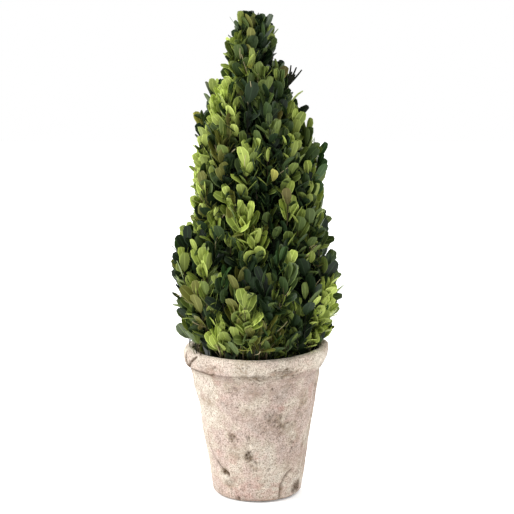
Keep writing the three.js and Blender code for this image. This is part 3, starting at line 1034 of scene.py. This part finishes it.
def grow_boughs(crown, stem, rng):
    boughs = []
    lowest, highest = stem.foot + BOUGH_ENDS[0], stem.top - BOUGH_ENDS[1]
    for i in range(BOUGHS):
        share = (i + 0.5) / BOUGHS
        start_height = blend_between(lowest, highest, share)
        angle = i * GOLDEN_ANGLE + rng.uniform(-0.2, 0.2)
        reach = blend_between(*BOUGH_LENGTH, share) * crown.radius(angle, max(start_height, crown.foot))
        end_height = min(start_height + reach * rng.uniform(*BOUGH_CLIMB), crown.top - BOUGH_ROOM[1])
        end_height = max(end_height, crown.foot + BOUGH_ROOM[0])
        radius = crown.radius(angle, end_height) * BOUGH_REACH
        start = Vector((*stem.centre(start_height), start_height))
        end = Vector((*stem.centre(end_height), end_height)) + radius * outward(angle)
        bend = start + 0.55 * radius * outward(angle) + Vector((0, 0, 0.15 * radius))
        thick = BOUGH_THICKNESS * stem.radius(start_height) * rng.uniform(0.85, 1.1)
        boughs.append(Shoot(curve_points(start, bend, end, 9), thick, BOUGH_TAPER * thick))
    return boughs


def nearest_tree(shoots, skip):
    """A search tree over the shoots' points, leaving out the first few of each."""
    places = [point for shoot in shoots for point in shoot.points[skip:]]
    tree = KDTree(len(places))
    for i, place in enumerate(places):
        tree.insert(place, i)
    tree.balance()
    return tree


def grow_branches(crown, boughs, rng):
    tree = nearest_tree(boughs, skip=3)
    branches = []
    for i in range(BRANCHES):
        height = crown.surface_height((i + rng.random()) / BRANCHES)
        angle = i * GOLDEN_ANGLE + rng.uniform(-0.3, 0.3)
        end = crown.point(angle, height, BRANCH_DEPTH * rng.uniform(0.85, 1.15))
        below = end - BRANCH_DROP * UP - BRANCH_INSET * outward(angle)
        start = tree.find(below)[0].copy()
        bend = start.lerp(end, 0.5) + 3 * MM * outward(angle) - 2 * MM * UP
        branches.append(Shoot(curve_points(start, bend, end, 6), *BRANCH_RADII))
    return branches


def nearness(angle, height, radius, marks):
    """1 in the middle of a marked place on the crown, and 0 outside all of them."""
    best = 0.0
    for azimuth, mark_height, reach in marks:
        turn = (angle - math.radians(azimuth) + math.pi) % math.tau - math.pi
        distance = math.hypot(turn * radius, height - mark_height * MM)
        best = max(best, 1 - float(smooth_share(distance, 0.5 * reach * MM, 1.2 * reach * MM)))
    return best


def cluster_tone(angle, height, radius):
    """The tone that an even sprig takes from a light cluster round it, or 0."""
    best = 0.0
    for *place, tone in CLUSTERS:
        if tone > LIGHT_CLUSTER and nearness(angle, height, radius, [place]) > MARKED:
            best = max(best, tone - 0.5)
    return best


def odd_tint(angle, height, radius):
    for tint, places in ((OLIVE, OLIVE_PLACES), (COOL, COOL_PLACES)):
        if nearness(angle, height, radius, places) > MARKED:
            return tint
    return None


def leafy_shoot(tree, end, angle, rise, swing, length, rng):
    """A sprig's curve: from the nearest branch to its base, and on to its end."""
    direction = math.cos(rise) * outward(angle + swing) + math.sin(rise) * UP
    base = end - length * direction
    start = tree.find(base - SPRIG_ROOT * direction)[0].copy()
    lower = curve_points(start, start.lerp(base, 0.5) - 2 * MM * UP, base, 3)
    sag = SPRIG_SAG * length * (outward(angle) - UP) + SPRIG_SWAY * length * random_vector(rng)
    return lower[:-1] + curve_points(base, base.lerp(end, 0.5) + sag, end, 5)


def even_tone(crown, angle, height, hollow, shade, rng):
    """The tone of a sprig that is in no cluster."""
    surface = crown.point(angle, height, 0)
    tone = rng.gauss(TONE_MEAN, TONE_SPREAD) + PATCH_TONE * noise.noise(surface / PATCH_REACH + PATCH_SHIFT)
    # painted light and shade: lighter at the two sides and more on the left, as the lamps fall, and lighter
    # at the foot; darker in the hollows
    tone += PAINTED_SIDE_LIGHT * math.cos(angle) ** 2 - PAINTED_LEFT_LIGHT * math.cos(angle) - HOLLOW_SHADE * hollow - shade
    tone += PAINTED_FOOT_LIGHT - PAINTED_FOOT_LIGHT * float(smooth_share(height, *PAINTED_FOOT_LIGHT_ENDS))
    tone -= TIP_SHADE * float(smooth_share(height, crown.top - TIP_SHADE_REACH, crown.top))
    tone -= UPPER_SHADE * float(smooth_share(height, *UPPER_SHADE_ENDS))
    return min(tone, LIGHTEST)


def grow_sprigs(crown, tree, rng, count, depth, shade):
    """Sprigs spread evenly over the crown. Shade darkens their tones."""
    sprigs = []
    for i in range(count):
        height = crown.surface_height((i + rng.random()) / count)
        height = min(height, crown.top - TIP_DEPTH)
        angle = i * GOLDEN_ANGLE + rng.uniform(-0.12, 0.12)
        surface = crown.point(angle, height, 0)
        radius = crown.radius(angle, height)
        hollow = nearness(angle, height, radius, DARK_HOLLOWS)
        tuft = TUFT_DEPTH * noise.noise(surface / TUFT_SIZE) - HOLLOW_DEPTH * hollow
        tuft -= TRIM_DEPTH * nearness(angle, height, radius, TRIMS)
        end = crown.point(angle, height, depth + rng.gauss(0, DEPTH_SPREAD) - tuft, leaf_rise(crown, height))
        rise = sprig_rise(crown, height) + rng.gauss(0, RISE_SPREAD)
        swing = rng.gauss(0, SWING_SPREAD)
        points = leafy_shoot(tree, end, angle, rise, swing, rng.uniform(*SPRIG_LENGTH), rng)
        tone = even_tone(crown, angle, height, hollow, shade, rng)
        tone = max(tone, cluster_tone(angle, height, radius) - shade)
        sprigs.append(Sprig(points, angle, height, tone, odd_tint(angle, height, radius)))
    return sprigs


def grow_clusters(crown, tree, rng):
    """The clusters' own sprigs, in front of their neighbours."""
    sprigs = []
    for azimuth, mark_height, reach, tone in CLUSTERS:
        count = max(1, round((reach / CLUSTER_SPRIG) ** 2))
        for i in range(count):
            away = CLUSTER_SPREAD * reach * MM * math.sqrt(i / count)
            around = i * GOLDEN_ANGLE + azimuth
            height = mark_height * MM + away * math.sin(around)
            radius = crown.radius(math.radians(azimuth), height)
            angle = math.radians(azimuth) + away * math.cos(around) / radius
            depth = LEAF_REACH - CLUSTER_RISE * (1 - 0.5 * abs(math.cos(angle)))
            depth += rng.gauss(0, CLUSTER_DEPTH_SPREAD)
            end = crown.point(angle, height, depth, leaf_rise(crown, height))
            rise = sprig_rise(crown, height) + rng.gauss(0, 0.5 * RISE_SPREAD)
            swing = rng.gauss(0, 0.6 * SWING_SPREAD)
            points = leafy_shoot(tree, end, angle, rise, swing, rng.uniform(*SPRIG_LENGTH), rng)
            sprig_tone = tone + rng.gauss(0, CLUSTER_TONE_SPREAD)
            sprigs.append(Sprig(points, angle, height, sprig_tone, odd_tint(angle, height, radius)))
    return sprigs


def grow_strays(crown, tree, rng):
    sprigs = []
    for azimuth, height, reach, tone in STRAYS:
        angle, height = math.radians(azimuth), height * MM
        end = crown.point(angle, height, LEAF_REACH - reach * MM)
        rise = sprig_rise(crown, height) + rng.gauss(0, 0.1)
        points = leafy_shoot(tree, end, angle, rise, rng.gauss(0, 0.2), STRAY_LENGTH, rng)
        sprigs.append(Sprig(points, angle, height, tone, stray=True))
    return sprigs


def grow_collar(tree, rng):
    sprigs = []
    for i in range(COLLAR_SPRIGS):
        angle = i * GOLDEN_ANGLE
        height = rng.uniform(*COLLAR_HEIGHT) * MM
        reach = rng.uniform(*COLLAR_REACH) * MM
        end = Vector((reach * math.cos(angle), reach * math.sin(angle), height))
        rise = math.radians(rng.uniform(*COLLAR_RISE))
        points = leafy_shoot(tree, end, angle, rise, rng.gauss(0, 0.4), rng.uniform(*COLLAR_LENGTH) * MM, rng)
        sprigs.append(Sprig(points, angle, height, rng.gauss(*COLLAR_TONE)))
    return sprigs


# ---- Wood: the stem, its boughs and the twigs ----

BARK_RELIEF = 0.5 * MM
STEM_SIDES = 28
STEM_RINGS = 150
BOUGH_SIDES = 12
BOUGH_RINGS = 26
FLARE_HEIGHT = 7 * MM
FLARE_LOBES = 5
FLARE_LOBE_DEPTH = 0.12  # share of the flare's radius


def add_barked(parts, points, radii, sides, lobes=None):
    """A limb with furrows along it. Lobes scale each ring's radius by side, for the root flare."""
    path = np.array(points)
    points, quads, fans = tube(path, radii, sides)
    count = len(path) * sides
    owner = np.repeat(np.arange(len(path)), sides)
    spokes = points[:count] - path[owner]
    scale = lobes.ravel() if lobes is not None else np.ones(count)
    furrows = noise_field(points[:count] * (1, 1, 0.22), 1.7 * MM, 3.3)
    knots = noise_field(points[:count], 7 * MM, 9.1)
    relief = BARK_RELIEF * (0.7 * furrows + 0.8 * knots) * np.minimum(1, radii[owner] / (5 * MM))
    points[:count] = path[owner] + spokes * scale[:, None] + unit(spokes) * relief[:, None]
    parts.add_shape(points, quads, fans)


def resampled_path(points, count):
    """A shoot's path in more steps, bent a little at random as wood is."""
    path = np.array(points)
    where = np.linspace(0, len(path) - 1, count)
    path = np.stack([np.interp(where, np.arange(len(path)), path[:, axis]) for axis in range(3)], axis=-1)
    sway = np.stack([noise_field(path, 16 * MM, shift) for shift in (1.7, 4.9, 8.3)], axis=-1)
    return path + 1.6 * MM * sway * np.sin(np.linspace(0, math.pi, count))[:, None]


def add_stem(parts, stem):
    shares = np.linspace(0, 1, STEM_RINGS) ** 1.25
    heights = blend_between(stem.foot, stem.top - 1 * MM, shares)
    path = [(*stem.centre(height), height) for height in heights]
    radii = np.array([stem.radius(height) for height in heights]) - 0.2 * MM
    radii[-1] = radii[-2] * 0.7
    flare = np.exp(-(heights - stem.foot) / FLARE_HEIGHT)[:, None]
    lobes = 1 - FLARE_LOBE_DEPTH * flare * (1 - np.cos(FLARE_LOBES * side_angles(STEM_SIDES) + 0.6))[None]
    add_barked(parts, path, radii, STEM_SIDES, lobes)


def build_wood(stem, boughs):
    parts = MeshParts()
    add_stem(parts, stem)
    shares = np.linspace(0, 1, BOUGH_RINGS)
    for bough in boughs:
        path = resampled_path(bough.points, BOUGH_RINGS)
        radii = blend_between(bough.start_radius, bough.end_radius, shares)
        radii = radii * (1 + 0.35 * np.exp(-shares * 12))
        add_barked(parts, path, radii, BOUGH_SIDES)
    settle(mesh_piece("stem_and_boughs", parts, [bark_material()]), "bark", "stem")


# The twigs' finishes: name, colour, roughness and specular.
TWIG_FINISHES = [
    ("old", (70, 62, 43), 0.85, 0.2), ("green", (96, 98, 54), 0.7, 0.3),
    ("pale", (176, 164, 126), 0.75, 0.3), ("dark", (32, 35, 24), 0.85, 0.2),
]
OLD_TWIG, GREEN_TWIG, PALE_TWIG, DARK_TWIG = range(len(TWIG_FINISHES))
DARK_TWIG_TONE = 2.6  # up to this tone a sprig's own twig is a dark one
SPRIG_RADII = (0.8 * MM, 0.4 * MM)
INNER_SPRIG_RADII = (0.85 * MM, 0.4 * MM)
CLIPPED_TWIGS = 460
CLIPPED_LENGTH = (10 * MM, 22 * MM)
CLIPPED_RADIUS = 0.42 * MM
CLIPPED_RADII = (CLIPPED_RADIUS, 0.7 * CLIPPED_RADIUS)
CLIPPED_LEAN = 0.45  # how unevenly clipped twigs leave their sprig's direction
CLIPPED_OUTWARD = 0.4  # and how much they turn outward
# A bare dark twig with prongs at the crown's right edge: azimuth, height and depth in mm, and
# each prong's lean in radians and length in mm.
PRONGED_TWIG = (0, 434, 8)
PRONGS = [(0.05, 16), (0.22, 23), (0.36, 17), (0.48, 23), (0.62, 16), (0.74, 24)]


def twig_materials():
    return [
        plain_material(f"twig_{name}", srgb(*color), roughness, specular)
        for name, color, roughness, specular in TWIG_FINISHES
    ]


def add_twig(parts, points, end_radii, sides, finish):
    radii = np.linspace(*end_radii, len(points))
    parts.add_shape(*tube(points, radii, sides), finish)


def add_clipped_twigs(parts, sprigs, rng):
    """Bare ends left by clipping, beside the sprigs near the surface."""
    for _ in range(CLIPPED_TWIGS):
        sprig = rng.choice(sprigs)
        start = sprig.points[rng.randint(4, len(sprig.points) - 2)]
        lean = (sprig.points[-1] - sprig.points[-3]).normalized() + CLIPPED_LEAN * random_vector(rng)
        lean = (lean + CLIPPED_OUTWARD * outward(sprig.angle)).normalized()
        length = rng.uniform(*CLIPPED_LENGTH)
        bend = start + 0.5 * length * lean + 0.08 * length * random_vector(rng)
        points = curve_points(start, bend, start + length * lean, 3)
        finish = rng.choice((PALE_TWIG, PALE_TWIG, GREEN_TWIG, OLD_TWIG))
        add_twig(parts, points, CLIPPED_RADII, 5, finish)


def add_pronged_twig(parts, crown):
    azimuth, height, depth = PRONGED_TWIG
    out = outward(math.radians(azimuth))
    fork = crown.point(math.radians(azimuth), height * MM, depth * MM)
    start = fork - 16 * MM * UP - 6 * MM * out
    add_twig(parts, curve_points(start, start.lerp(fork, 0.5), fork, 3), (1.1 * MM, 0.9 * MM), 6, DARK_TWIG)
    for lean, length in PRONGS:
        tip = fork + length * MM * (math.sin(lean) * out + math.cos(lean) * UP)
        bend = fork.lerp(tip, 0.5) + 1.5 * MM * out
        add_twig(parts, curve_points(fork, bend, tip, 4), (1.5 * MM, 0.75 * MM), 5, DARK_TWIG)


def build_twigs(crown, branches, outer, inner):
    parts = MeshParts()
    for shoot in branches:
        add_twig(parts, shoot.points, (shoot.start_radius, shoot.end_radius), 6, OLD_TWIG)
    # the inner sprigs' twigs are dark: painted shade inside the crown
    for sprig in inner:
        add_twig(parts, sprig.points, INNER_SPRIG_RADII, 5, DARK_TWIG)
    for sprig in outer:
        finish = OLD_TWIG if sprig.tone > DARK_TWIG_TONE else DARK_TWIG
        add_twig(parts, sprig.points, SPRIG_RADII, 5, finish)
    add_clipped_twigs(parts, outer, random.Random(GROWTH_SEED + 1))
    add_pronged_twig(parts, crown)
    settle(mesh_piece("twigs", parts, twig_materials()), "bark")


# ---- Leaves ----

LEAF_SEED = 31
PAIR_STEP = 8.5 * MM
LEAF_LENGTH = (18.5 * MM, 26 * MM)
LEAF_BREADTH = (0.37, 0.56)  # share of the length
STALK = 0.6 * MM
LEAF_FOLD = (0.12, 0.5)  # slope of each half of the blade
LEAF_CURL = (0.02, 0.09)  # mean and spread of how far the end drops, as a share of the length
SPRIG_SIZE = (0.88, 1.02)  # by which one sprig's leaves are longer or shorter than another's
END_SIZE = 0.85  # the size of a sprig's last pair of leaves
END_SPREAD = 15  # in degrees, how far the last pair leans from its sprig
PAIR_SPREAD = 22  # and how far the others do, with a little more for each pair further back
MORE_SPREAD = 4
PAIR_UNEVENNESS = 0.12  # in radians: of the lean of each pair, of each leaf, and of the pair's turn
LEAF_UNEVENNESS = 0.14
TURN_UNEVENNESS = 0.3
END_TONE = 0.6  # the last pair is lighter than its sprig, and each pair further back darker, painted shade deeper in the crown
PAIR_SHADE = 0.45

# Tints from the darkest to the brightest leaves, and then the odd ones: upper side and underside.
TINTS = [
    ("black", (12, 26, 8), (26, 42, 19)),
    ("dark", (29, 46, 17), (48, 64, 31)),
    ("deep", (53, 68, 27), (73, 88, 43)),
    ("green", (80, 94, 38), (98, 112, 53)),
    ("fresh", (112, 127, 52), (127, 140, 66)),
    ("young", (140, 156, 66), (149, 163, 78)),
    ("bright", (163, 179, 82), (170, 184, 94)),
    ("olive", (90, 92, 34), (102, 104, 50)),
    ("cool", (40, 67, 28), (60, 84, 44)),
    ("bronze", (84, 79, 34), (92, 87, 46)),
    ("yellow", (164, 162, 68), (170, 167, 86)),
]
BRIGHTEST = 6
OLIVE, COOL, BRONZE, YELLOW = 7, 8, 9, 10
OLIVE_SHARE, COOL_SHARE, BRONZE_SHARE, YELLOW_SHARE = 0.07, 0.04, 0.009, 0.005
ODD_SHARE = 0.6  # share of an odd sprig's leaves that take its tint
TINT_SPREAD = 0.8
RIB_LIGHTENING = 1.18
RIB_PALER = 6
# the upper side near the stalk is this much darker: painted shade
BASE_SHADE = 0.78

# How much leaves face along their sprig, outward and up, and how unevenly.
FACE_ALONG = 0.9
FACE_OUTWARD = 0.5
FACE_UP = 0.2
FACE_SPREAD = 0.42

# Each tint has one material for each kind of face, with this roughness and specular. The base faces are the
# upper side darkened near the stalk, painted shade, and the rib faces also edge the leaf in a pale rim that
# is partly a painted highlight.
LEAF_FINISHES = [("upper", 0.45, 0.24), ("under", 0.55, 0.2), ("rib_and_rim_highlight", 0.5, 0.25), ("base", 0.5, 0.2)]
KINDS = len(LEAF_FINISHES)
UPPER, UNDER, RIB, SHADED_BASE = range(KINDS)


def leaf_materials():
    materials = []
    for name, upper, under in TINTS:
        # the midrib and the rim share a lighter colour; on the rim it is partly a painted highlight
        rib_and_rim_highlight = tuple(min(255, RIB_LIGHTENING * part + RIB_PALER) for part in map(max, upper, under))
        base = tuple(BASE_SHADE * part for part in upper)
        for color, (kind, roughness, specular) in zip((upper, under, rib_and_rim_highlight, base), LEAF_FINISHES):
            materials.append(plain_material(f"leaf_{name}_{kind}", srgb(*color), roughness, specular))
    return materials


class LeafPattern:
    """The points and faces that every leaf shares: rows along it, and columns across both sides.

    Each point has its place across and along the leaf, whether it is under the blade, and whether
    it is on the rim. The first two points are the leaf's base and its end.
    """

    def __init__(self, rows, columns, ribbed):
        self.points = [(0, 0, False, True), (0, 1, False, True)]
        self.faces = {3: [], 4: []}
        self.kinds = {3: [], 4: []}
        edges = {}
        for is_under in (False, True):
            grid = [[self.place(u, t, is_under, edges) for u in columns] for t in rows]
            self.lay_faces(grid, is_under, ribbed)
        self.u, self.t, self.under, rim = np.array(self.points, float).T
        self.rim = rim > 0

    def place(self, u, t, is_under, edges):
        """Adds a point, or finds it where both sides share the rim."""
        on_rim = abs(u) == 1
        if (u, t) in edges:
            return edges[(u, t)]
        self.points.append((u, t, is_under and not on_rim, on_rim))
        if on_rim:
            edges[(u, t)] = len(self.points) - 1
        return len(self.points) - 1

    def lay_faces(self, grid, is_under, ribbed):
        last = len(grid[0]) - 1
        for column in range(last):
            kind = UNDER if is_under else UPPER
            if ribbed and column in (0, last // 2, last - 1):
                kind = RIB
            # the upper side's row nearest the stalk takes the darker base finish: painted shade
            shaded_base_kind = SHADED_BASE if ribbed and kind == UPPER else kind
            for row, (low, high) in enumerate(zip(grid, grid[1:])):
                corners = [low[column], low[column + 1], high[column + 1], high[column]]
                self.face(corners, kind if row else shaded_base_kind, is_under)
            self.face([0, grid[0][column + 1], grid[0][column]], shaded_base_kind, is_under)
            self.face([1, grid[-1][column], grid[-1][column + 1]], kind, is_under)

    def face(self, corners, kind, is_under):
        self.faces[len(corners)].append(corners[::-1] if is_under else corners)
        self.kinds[len(corners)].append(kind)


# The half width of a leaf's midrib and the start of its pale rim, as shares of its half breadth. The rim's
# paleness is partly a painted highlight along the leaf's edge.
RIB_WIDTH = 0.07
RIM_START = 0.86
RIBBED_COLUMNS = (-1, -RIM_START, -RIB_WIDTH, RIB_WIDTH, RIM_START, 1)
OUTER_PATTERN = LeafPattern((0.14, 0.4, 0.7, 0.93), RIBBED_COLUMNS, True)
INNER_PATTERN = LeafPattern((0.2, 0.6, 0.92), (-1, 0, 1), False)

LEAF_WAIST = 0.615  # where along a leaf it is broadest
BASE_POWER, END_POWER = 0.8, 0.5  # of the outline, by which it narrows towards the base and the end
LEAF_EDGE = 0.25 * MM  # added to the half breadth all along
LEAF_THICKNESS = 0.3 * MM
END_NOTCH = 0.03
RIM_DROP = 0.07

CLIP_REACH = 11 * MM  # leaves that reach further out of the crown's outline are clipped away
LIP_CLEARANCE = (63.5 * MM, 165 * MM)  # leaves stay above this height outside this radius
ROOM = 12.5 * MM  # how far leaves may reach outside the sides of the frame's box
TOP_ROOM = 5 * MM  # and over its top


class Leaves:
    """The leaves of one piece: where each starts, points and faces, and its own shape."""

    def __init__(self):
        self.rows = []

    def add(self, base, along, face, length, breadth, fold, curl, tint):
        self.rows.append((*base, *along, *face, length, breadth, fold, curl, tint))

    def shapes(self, pattern):
        """The points of every leaf, one row for each leaf."""
        data = np.array(self.rows)
        base, along, face = data[:, 0:3], unit(data[:, 3:6]), data[:, 6:9]
        face = unit(face - along * np.sum(face * along, axis=1, keepdims=True))
        across = np.cross(along, face)
        length, breadth, fold, curl = (data[:, i : i + 1] for i in (9, 10, 11, 12))
        u, t, under = pattern.u[None], pattern.t[None], pattern.under[None]
        broadest = LEAF_WAIST**BASE_POWER * (1 - LEAF_WAIST) ** END_POWER
        profile = t**BASE_POWER * (1 - t) ** END_POWER / broadest
        x = u * (0.5 * breadth * profile * length + LEAF_EDGE)
        y = t * length * (1 - END_NOTCH * (1 - abs(u)) * np.clip((t - 0.8) / 0.2, 0, 1) ** 2)
        z = fold * abs(x) * (1 - 0.5 * t) - curl * length * t**2 - LEAF_THICKNESS * under
        z = z - RIM_DROP * breadth * length * u**2
        return (
            base[:, None]
            + x[..., None] * across[:, None]
            + y[..., None] * along[:, None]
            + z[..., None] * face[:, None]
        )

    def build(self, name, pattern, materials):
        """One object of all leaves but those that would touch the pot or reach far out of the CAD's box."""
        points = self.shapes(pattern)
        reach, level = LIP_CLEARANCE
        in_clay = (np.hypot(points[..., 0], points[..., 1]) > reach) & (points[..., 2] < level)
        low, high = np.array(cad_bounds[0]) - ROOM, np.array(cad_bounds[1]) + (ROOM, ROOM, TOP_ROOM)
        outside = (points < low).any(axis=2) | (points > high).any(axis=2)
        keep = ~(in_clay | outside).any(axis=1)
        points = points[keep]
        tints = KINDS * np.array([row[-1] for row in self.rows], int)[keep, None]
        starts = np.arange(len(points))[:, None, None] * len(pattern.t)
        face_sets = []
        for corners in (3, 4):
            faces = (starts + np.array(pattern.faces[corners])[None]).reshape(-1, corners)
            face_sets.append((faces, (tints + np.array(pattern.kinds[corners])[None]).ravel()))
        parts = MeshParts()
        parts.add(points.reshape(-1, 3), *face_sets)
        return mesh_piece(name, parts, materials, np.tile(pattern.rim, len(points)))


def pick_tint(rng, tone, odd):
    """A leaf's tint from its own tone, or its sprig's odd tint, which no leaf in the dark takes."""
    if odd is not None and tone > 0 and rng.random() < ODD_SHARE:
        return odd
    if rng.random() < YELLOW_SHARE:
        return YELLOW
    if rng.random() < BRONZE_SHARE:
        return BRONZE
    return int(min(max(round(tone + rng.gauss(0, TINT_SPREAD)), 0), BRIGHTEST))


def along_path(points, path, where):
    """The place and direction at a distance along a path."""
    for i in range(len(path) - 1):
        if where <= path[i + 1] or i == len(path) - 2:
            share = (where - path[i]) / (path[i + 1] - path[i])
            return points[i].lerp(points[i + 1], share), (points[i + 1] - points[i]).normalized()


def sprig_leaves(crown, sprig, leaves, rng):
    """Opposite pairs along the leafy end of a sprig, each pair turned from the last."""
    points = sprig.points[-6:]
    path = [0.0]
    for a, b in zip(points, points[1:]):
        path.append(path[-1] + (b - a).length)
    total = path[-1]
    turn = rng.uniform(0, math.tau)
    odd = rng.choices((OLIVE, COOL, sprig.odd), (OLIVE_SHARE, COOL_SHARE, 1 - OLIVE_SHARE - COOL_SHARE))[0]
    size_here = rng.uniform(*SPRIG_SIZE)
    trim = nearness(sprig.angle, sprig.height, crown.radius(sprig.angle, sprig.height), TRIMS)
    clip_reach = CLIP_REACH * (1 - trim)
    for pair in range(int(total / PAIR_STEP) + 1):
        is_end = pair == 0
        place, tangent = along_path(points, path, total - pair * PAIR_STEP)
        side = tangent.cross(Vector((0.2, 0.1, 1.0))).normalized()
        over = side.cross(tangent)
        size = size_here * rng.uniform(*LEAF_LENGTH) * (END_SIZE if is_end else 1.0)
        spread = END_SPREAD if is_end else PAIR_SPREAD + MORE_SPREAD * min(pair, 3)
        spread = math.radians(spread) + rng.gauss(0, PAIR_UNEVENNESS)
        angle = turn + pair * math.pi / 2 + rng.gauss(0, TURN_UNEVENNESS)
        tone = sprig.tone + (END_TONE if is_end else -PAIR_SHADE * pair)
        for half in (0, math.pi):
            out = math.cos(angle + half) * side + math.sin(angle + half) * over
            tilt = spread + rng.gauss(0, LEAF_UNEVENNESS)
            along = math.cos(tilt) * tangent + math.sin(tilt) * out
            if not sprig.stray and crown.overhang(place + size * along) > clip_reach:
                continue
            face = FACE_ALONG * (math.sin(tilt) * tangent - math.cos(tilt) * out)
            face += FACE_OUTWARD * outward(sprig.angle)
            face += FACE_UP * UP
            face += FACE_SPREAD * random_vector(rng)
            length, breadth = size * rng.uniform(0.9, 1.06), rng.uniform(*LEAF_BREADTH)
            fold, curl = rng.uniform(*LEAF_FOLD), rng.gauss(*LEAF_CURL)
            tint = pick_tint(rng, tone, odd)
            leaves.add(place + STALK * out, along, face, length, breadth, fold, curl, tint)


# ---- Building the plant ----

SEAM_DROP = 10 * MM  # sprigs nearer than this to a mass's top belong to the next mass


def mass_of(height, tops):
    """The number of the first mass whose top is above that height, or of the last mass."""
    return next((i for i, top in enumerate(tops) if height <= top), len(tops) - 1)


def build_leaves(crown, outer, inner):
    materials = leaf_materials()
    tops = [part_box(node)[1].z - SEAM_DROP for node in MASSES]
    rng = random.Random(LEAF_SEED)
    for sprigs, pattern, kind in ((outer, OUTER_PATTERN, "leaves"), (inner, INNER_PATTERN, "inner_leaves")):
        groups = [Leaves() for _ in MASSES]
        for sprig in sprigs:
            sprig_leaves(crown, sprig, groups[mass_of(sprig.height, tops)], rng)
        for node, group in zip(MASSES, groups):
            settle(group.build(f"{node}_{kind}", pattern, materials), "box_leaves", node)


def build_plant():
    stem = Stem()
    crown = Crown(stem)
    rng = random.Random(GROWTH_SEED)
    boughs = grow_boughs(crown, stem, rng)
    branches = grow_branches(crown, boughs, rng)
    tree = nearest_tree(branches, skip=2)
    outer = grow_sprigs(crown, tree, rng, OUTER_SPRIGS, LEAF_REACH, 0)
    outer += grow_collar(tree, rng)
    outer += grow_strays(crown, tree, rng)
    outer += grow_clusters(crown, tree, rng)
    inner = grow_sprigs(crown, tree, rng, INNER_SPRIGS, LEAF_REACH + INNER_DEPTH, INNER_SHADE)
    build_wood(stem, boughs)
    build_twigs(crown, branches, outer, inner)
    build_leaves(crown, outer, inner)


# ---- Stage ----

CAMERA_PLACE = (0.0, -1.603, 0.528)
CAMERA_PITCH = math.radians(9.65)
CAMERA_LENS = 107.8
SENSOR = 36.0

# Suns: name, strength, width of the light in degrees, and the way it shines.
SUNS = [
    ("key", 2.95, 25, (1.0, 0.38, -0.8)),
    ("side", 0.65, 90, (-0.9, -0.1, -0.4)),
    ("overhead", 0.9, 120, (0.05, 0.2, -1)),
]
FRONT_AMBIENT = 0.3  # the studio's brightness behind the camera
BACK_AMBIENT = 1.5  # and behind the plant
FLOOR_GLOW = 0.22


def add_camera():
    data = bpy.data.cameras.new("camera")
    data.lens = CAMERA_LENS
    data.sensor_width = SENSOR
    camera = add_object("camera", data)
    camera.location = CAMERA_PLACE
    camera.rotation_euler = (math.pi / 2 - CAMERA_PITCH, 0, 0)
    bpy.context.scene.camera = camera


def add_sun(name, strength, width, direction):
    data = bpy.data.lights.new(name, "SUN")
    data.energy = strength
    data.angle = math.radians(width)
    add_object(name, data).rotation_euler = Vector(direction).to_track_quat("-Z", "Y").to_euler()


def add_world():
    """A pale studio, brighter behind the plant than behind the camera, and white where it shows."""
    world = bpy.data.worlds.new("studio")
    bpy.context.scene.world = world
    world.use_nodes = True
    tree = world.node_tree
    background = tree.nodes["Background"]
    background.inputs["Color"].default_value = grey(1)
    direction = tree.nodes.new("ShaderNodeSeparateXYZ")
    ambient = range_node(tree, -1, 1, FRONT_AMBIENT, BACK_AMBIENT)
    strength = range_node(tree, 0, 1, 0, 1)
    coordinates = tree.nodes.new("ShaderNodeTexCoord").outputs["Generated"]
    seen_directly = tree.nodes.new("ShaderNodeLightPath").outputs["Is Camera Ray"]
    for output, socket in (
        (coordinates, direction.inputs["Vector"]),
        (direction.outputs["Y"], ambient.inputs["Value"]),
        (seen_directly, strength.inputs["Value"]),
        (ambient.outputs["Result"], strength.inputs["To Min"]),
        (strength.outputs["Result"], background.inputs["Strength"]),
    ):
        tree.links.new(output, socket)


def add_floor():
    bpy.ops.mesh.primitive_plane_add(size=8, location=(0, 0, 0))
    floor = bpy.context.object
    floor.name = "floor"
    material = plain_material("floor", (0.92, 0.92, 0.925, 1), 0.9, 0.2)
    shader = material.node_tree.nodes["Principled BSDF"]
    shader.inputs["Emission Color"].default_value = grey(1)
    shader.inputs["Emission Strength"].default_value = FLOOR_GLOW
    floor.data.materials.append(material)


def add_stage():
    add_camera()
    for sun in SUNS:
        add_sun(*sun)
    add_world()
    add_floor()
    bpy.context.scene.view_settings.view_transform = "Standard"


add_stage()
build_pot()
build_soil()
build_plant()
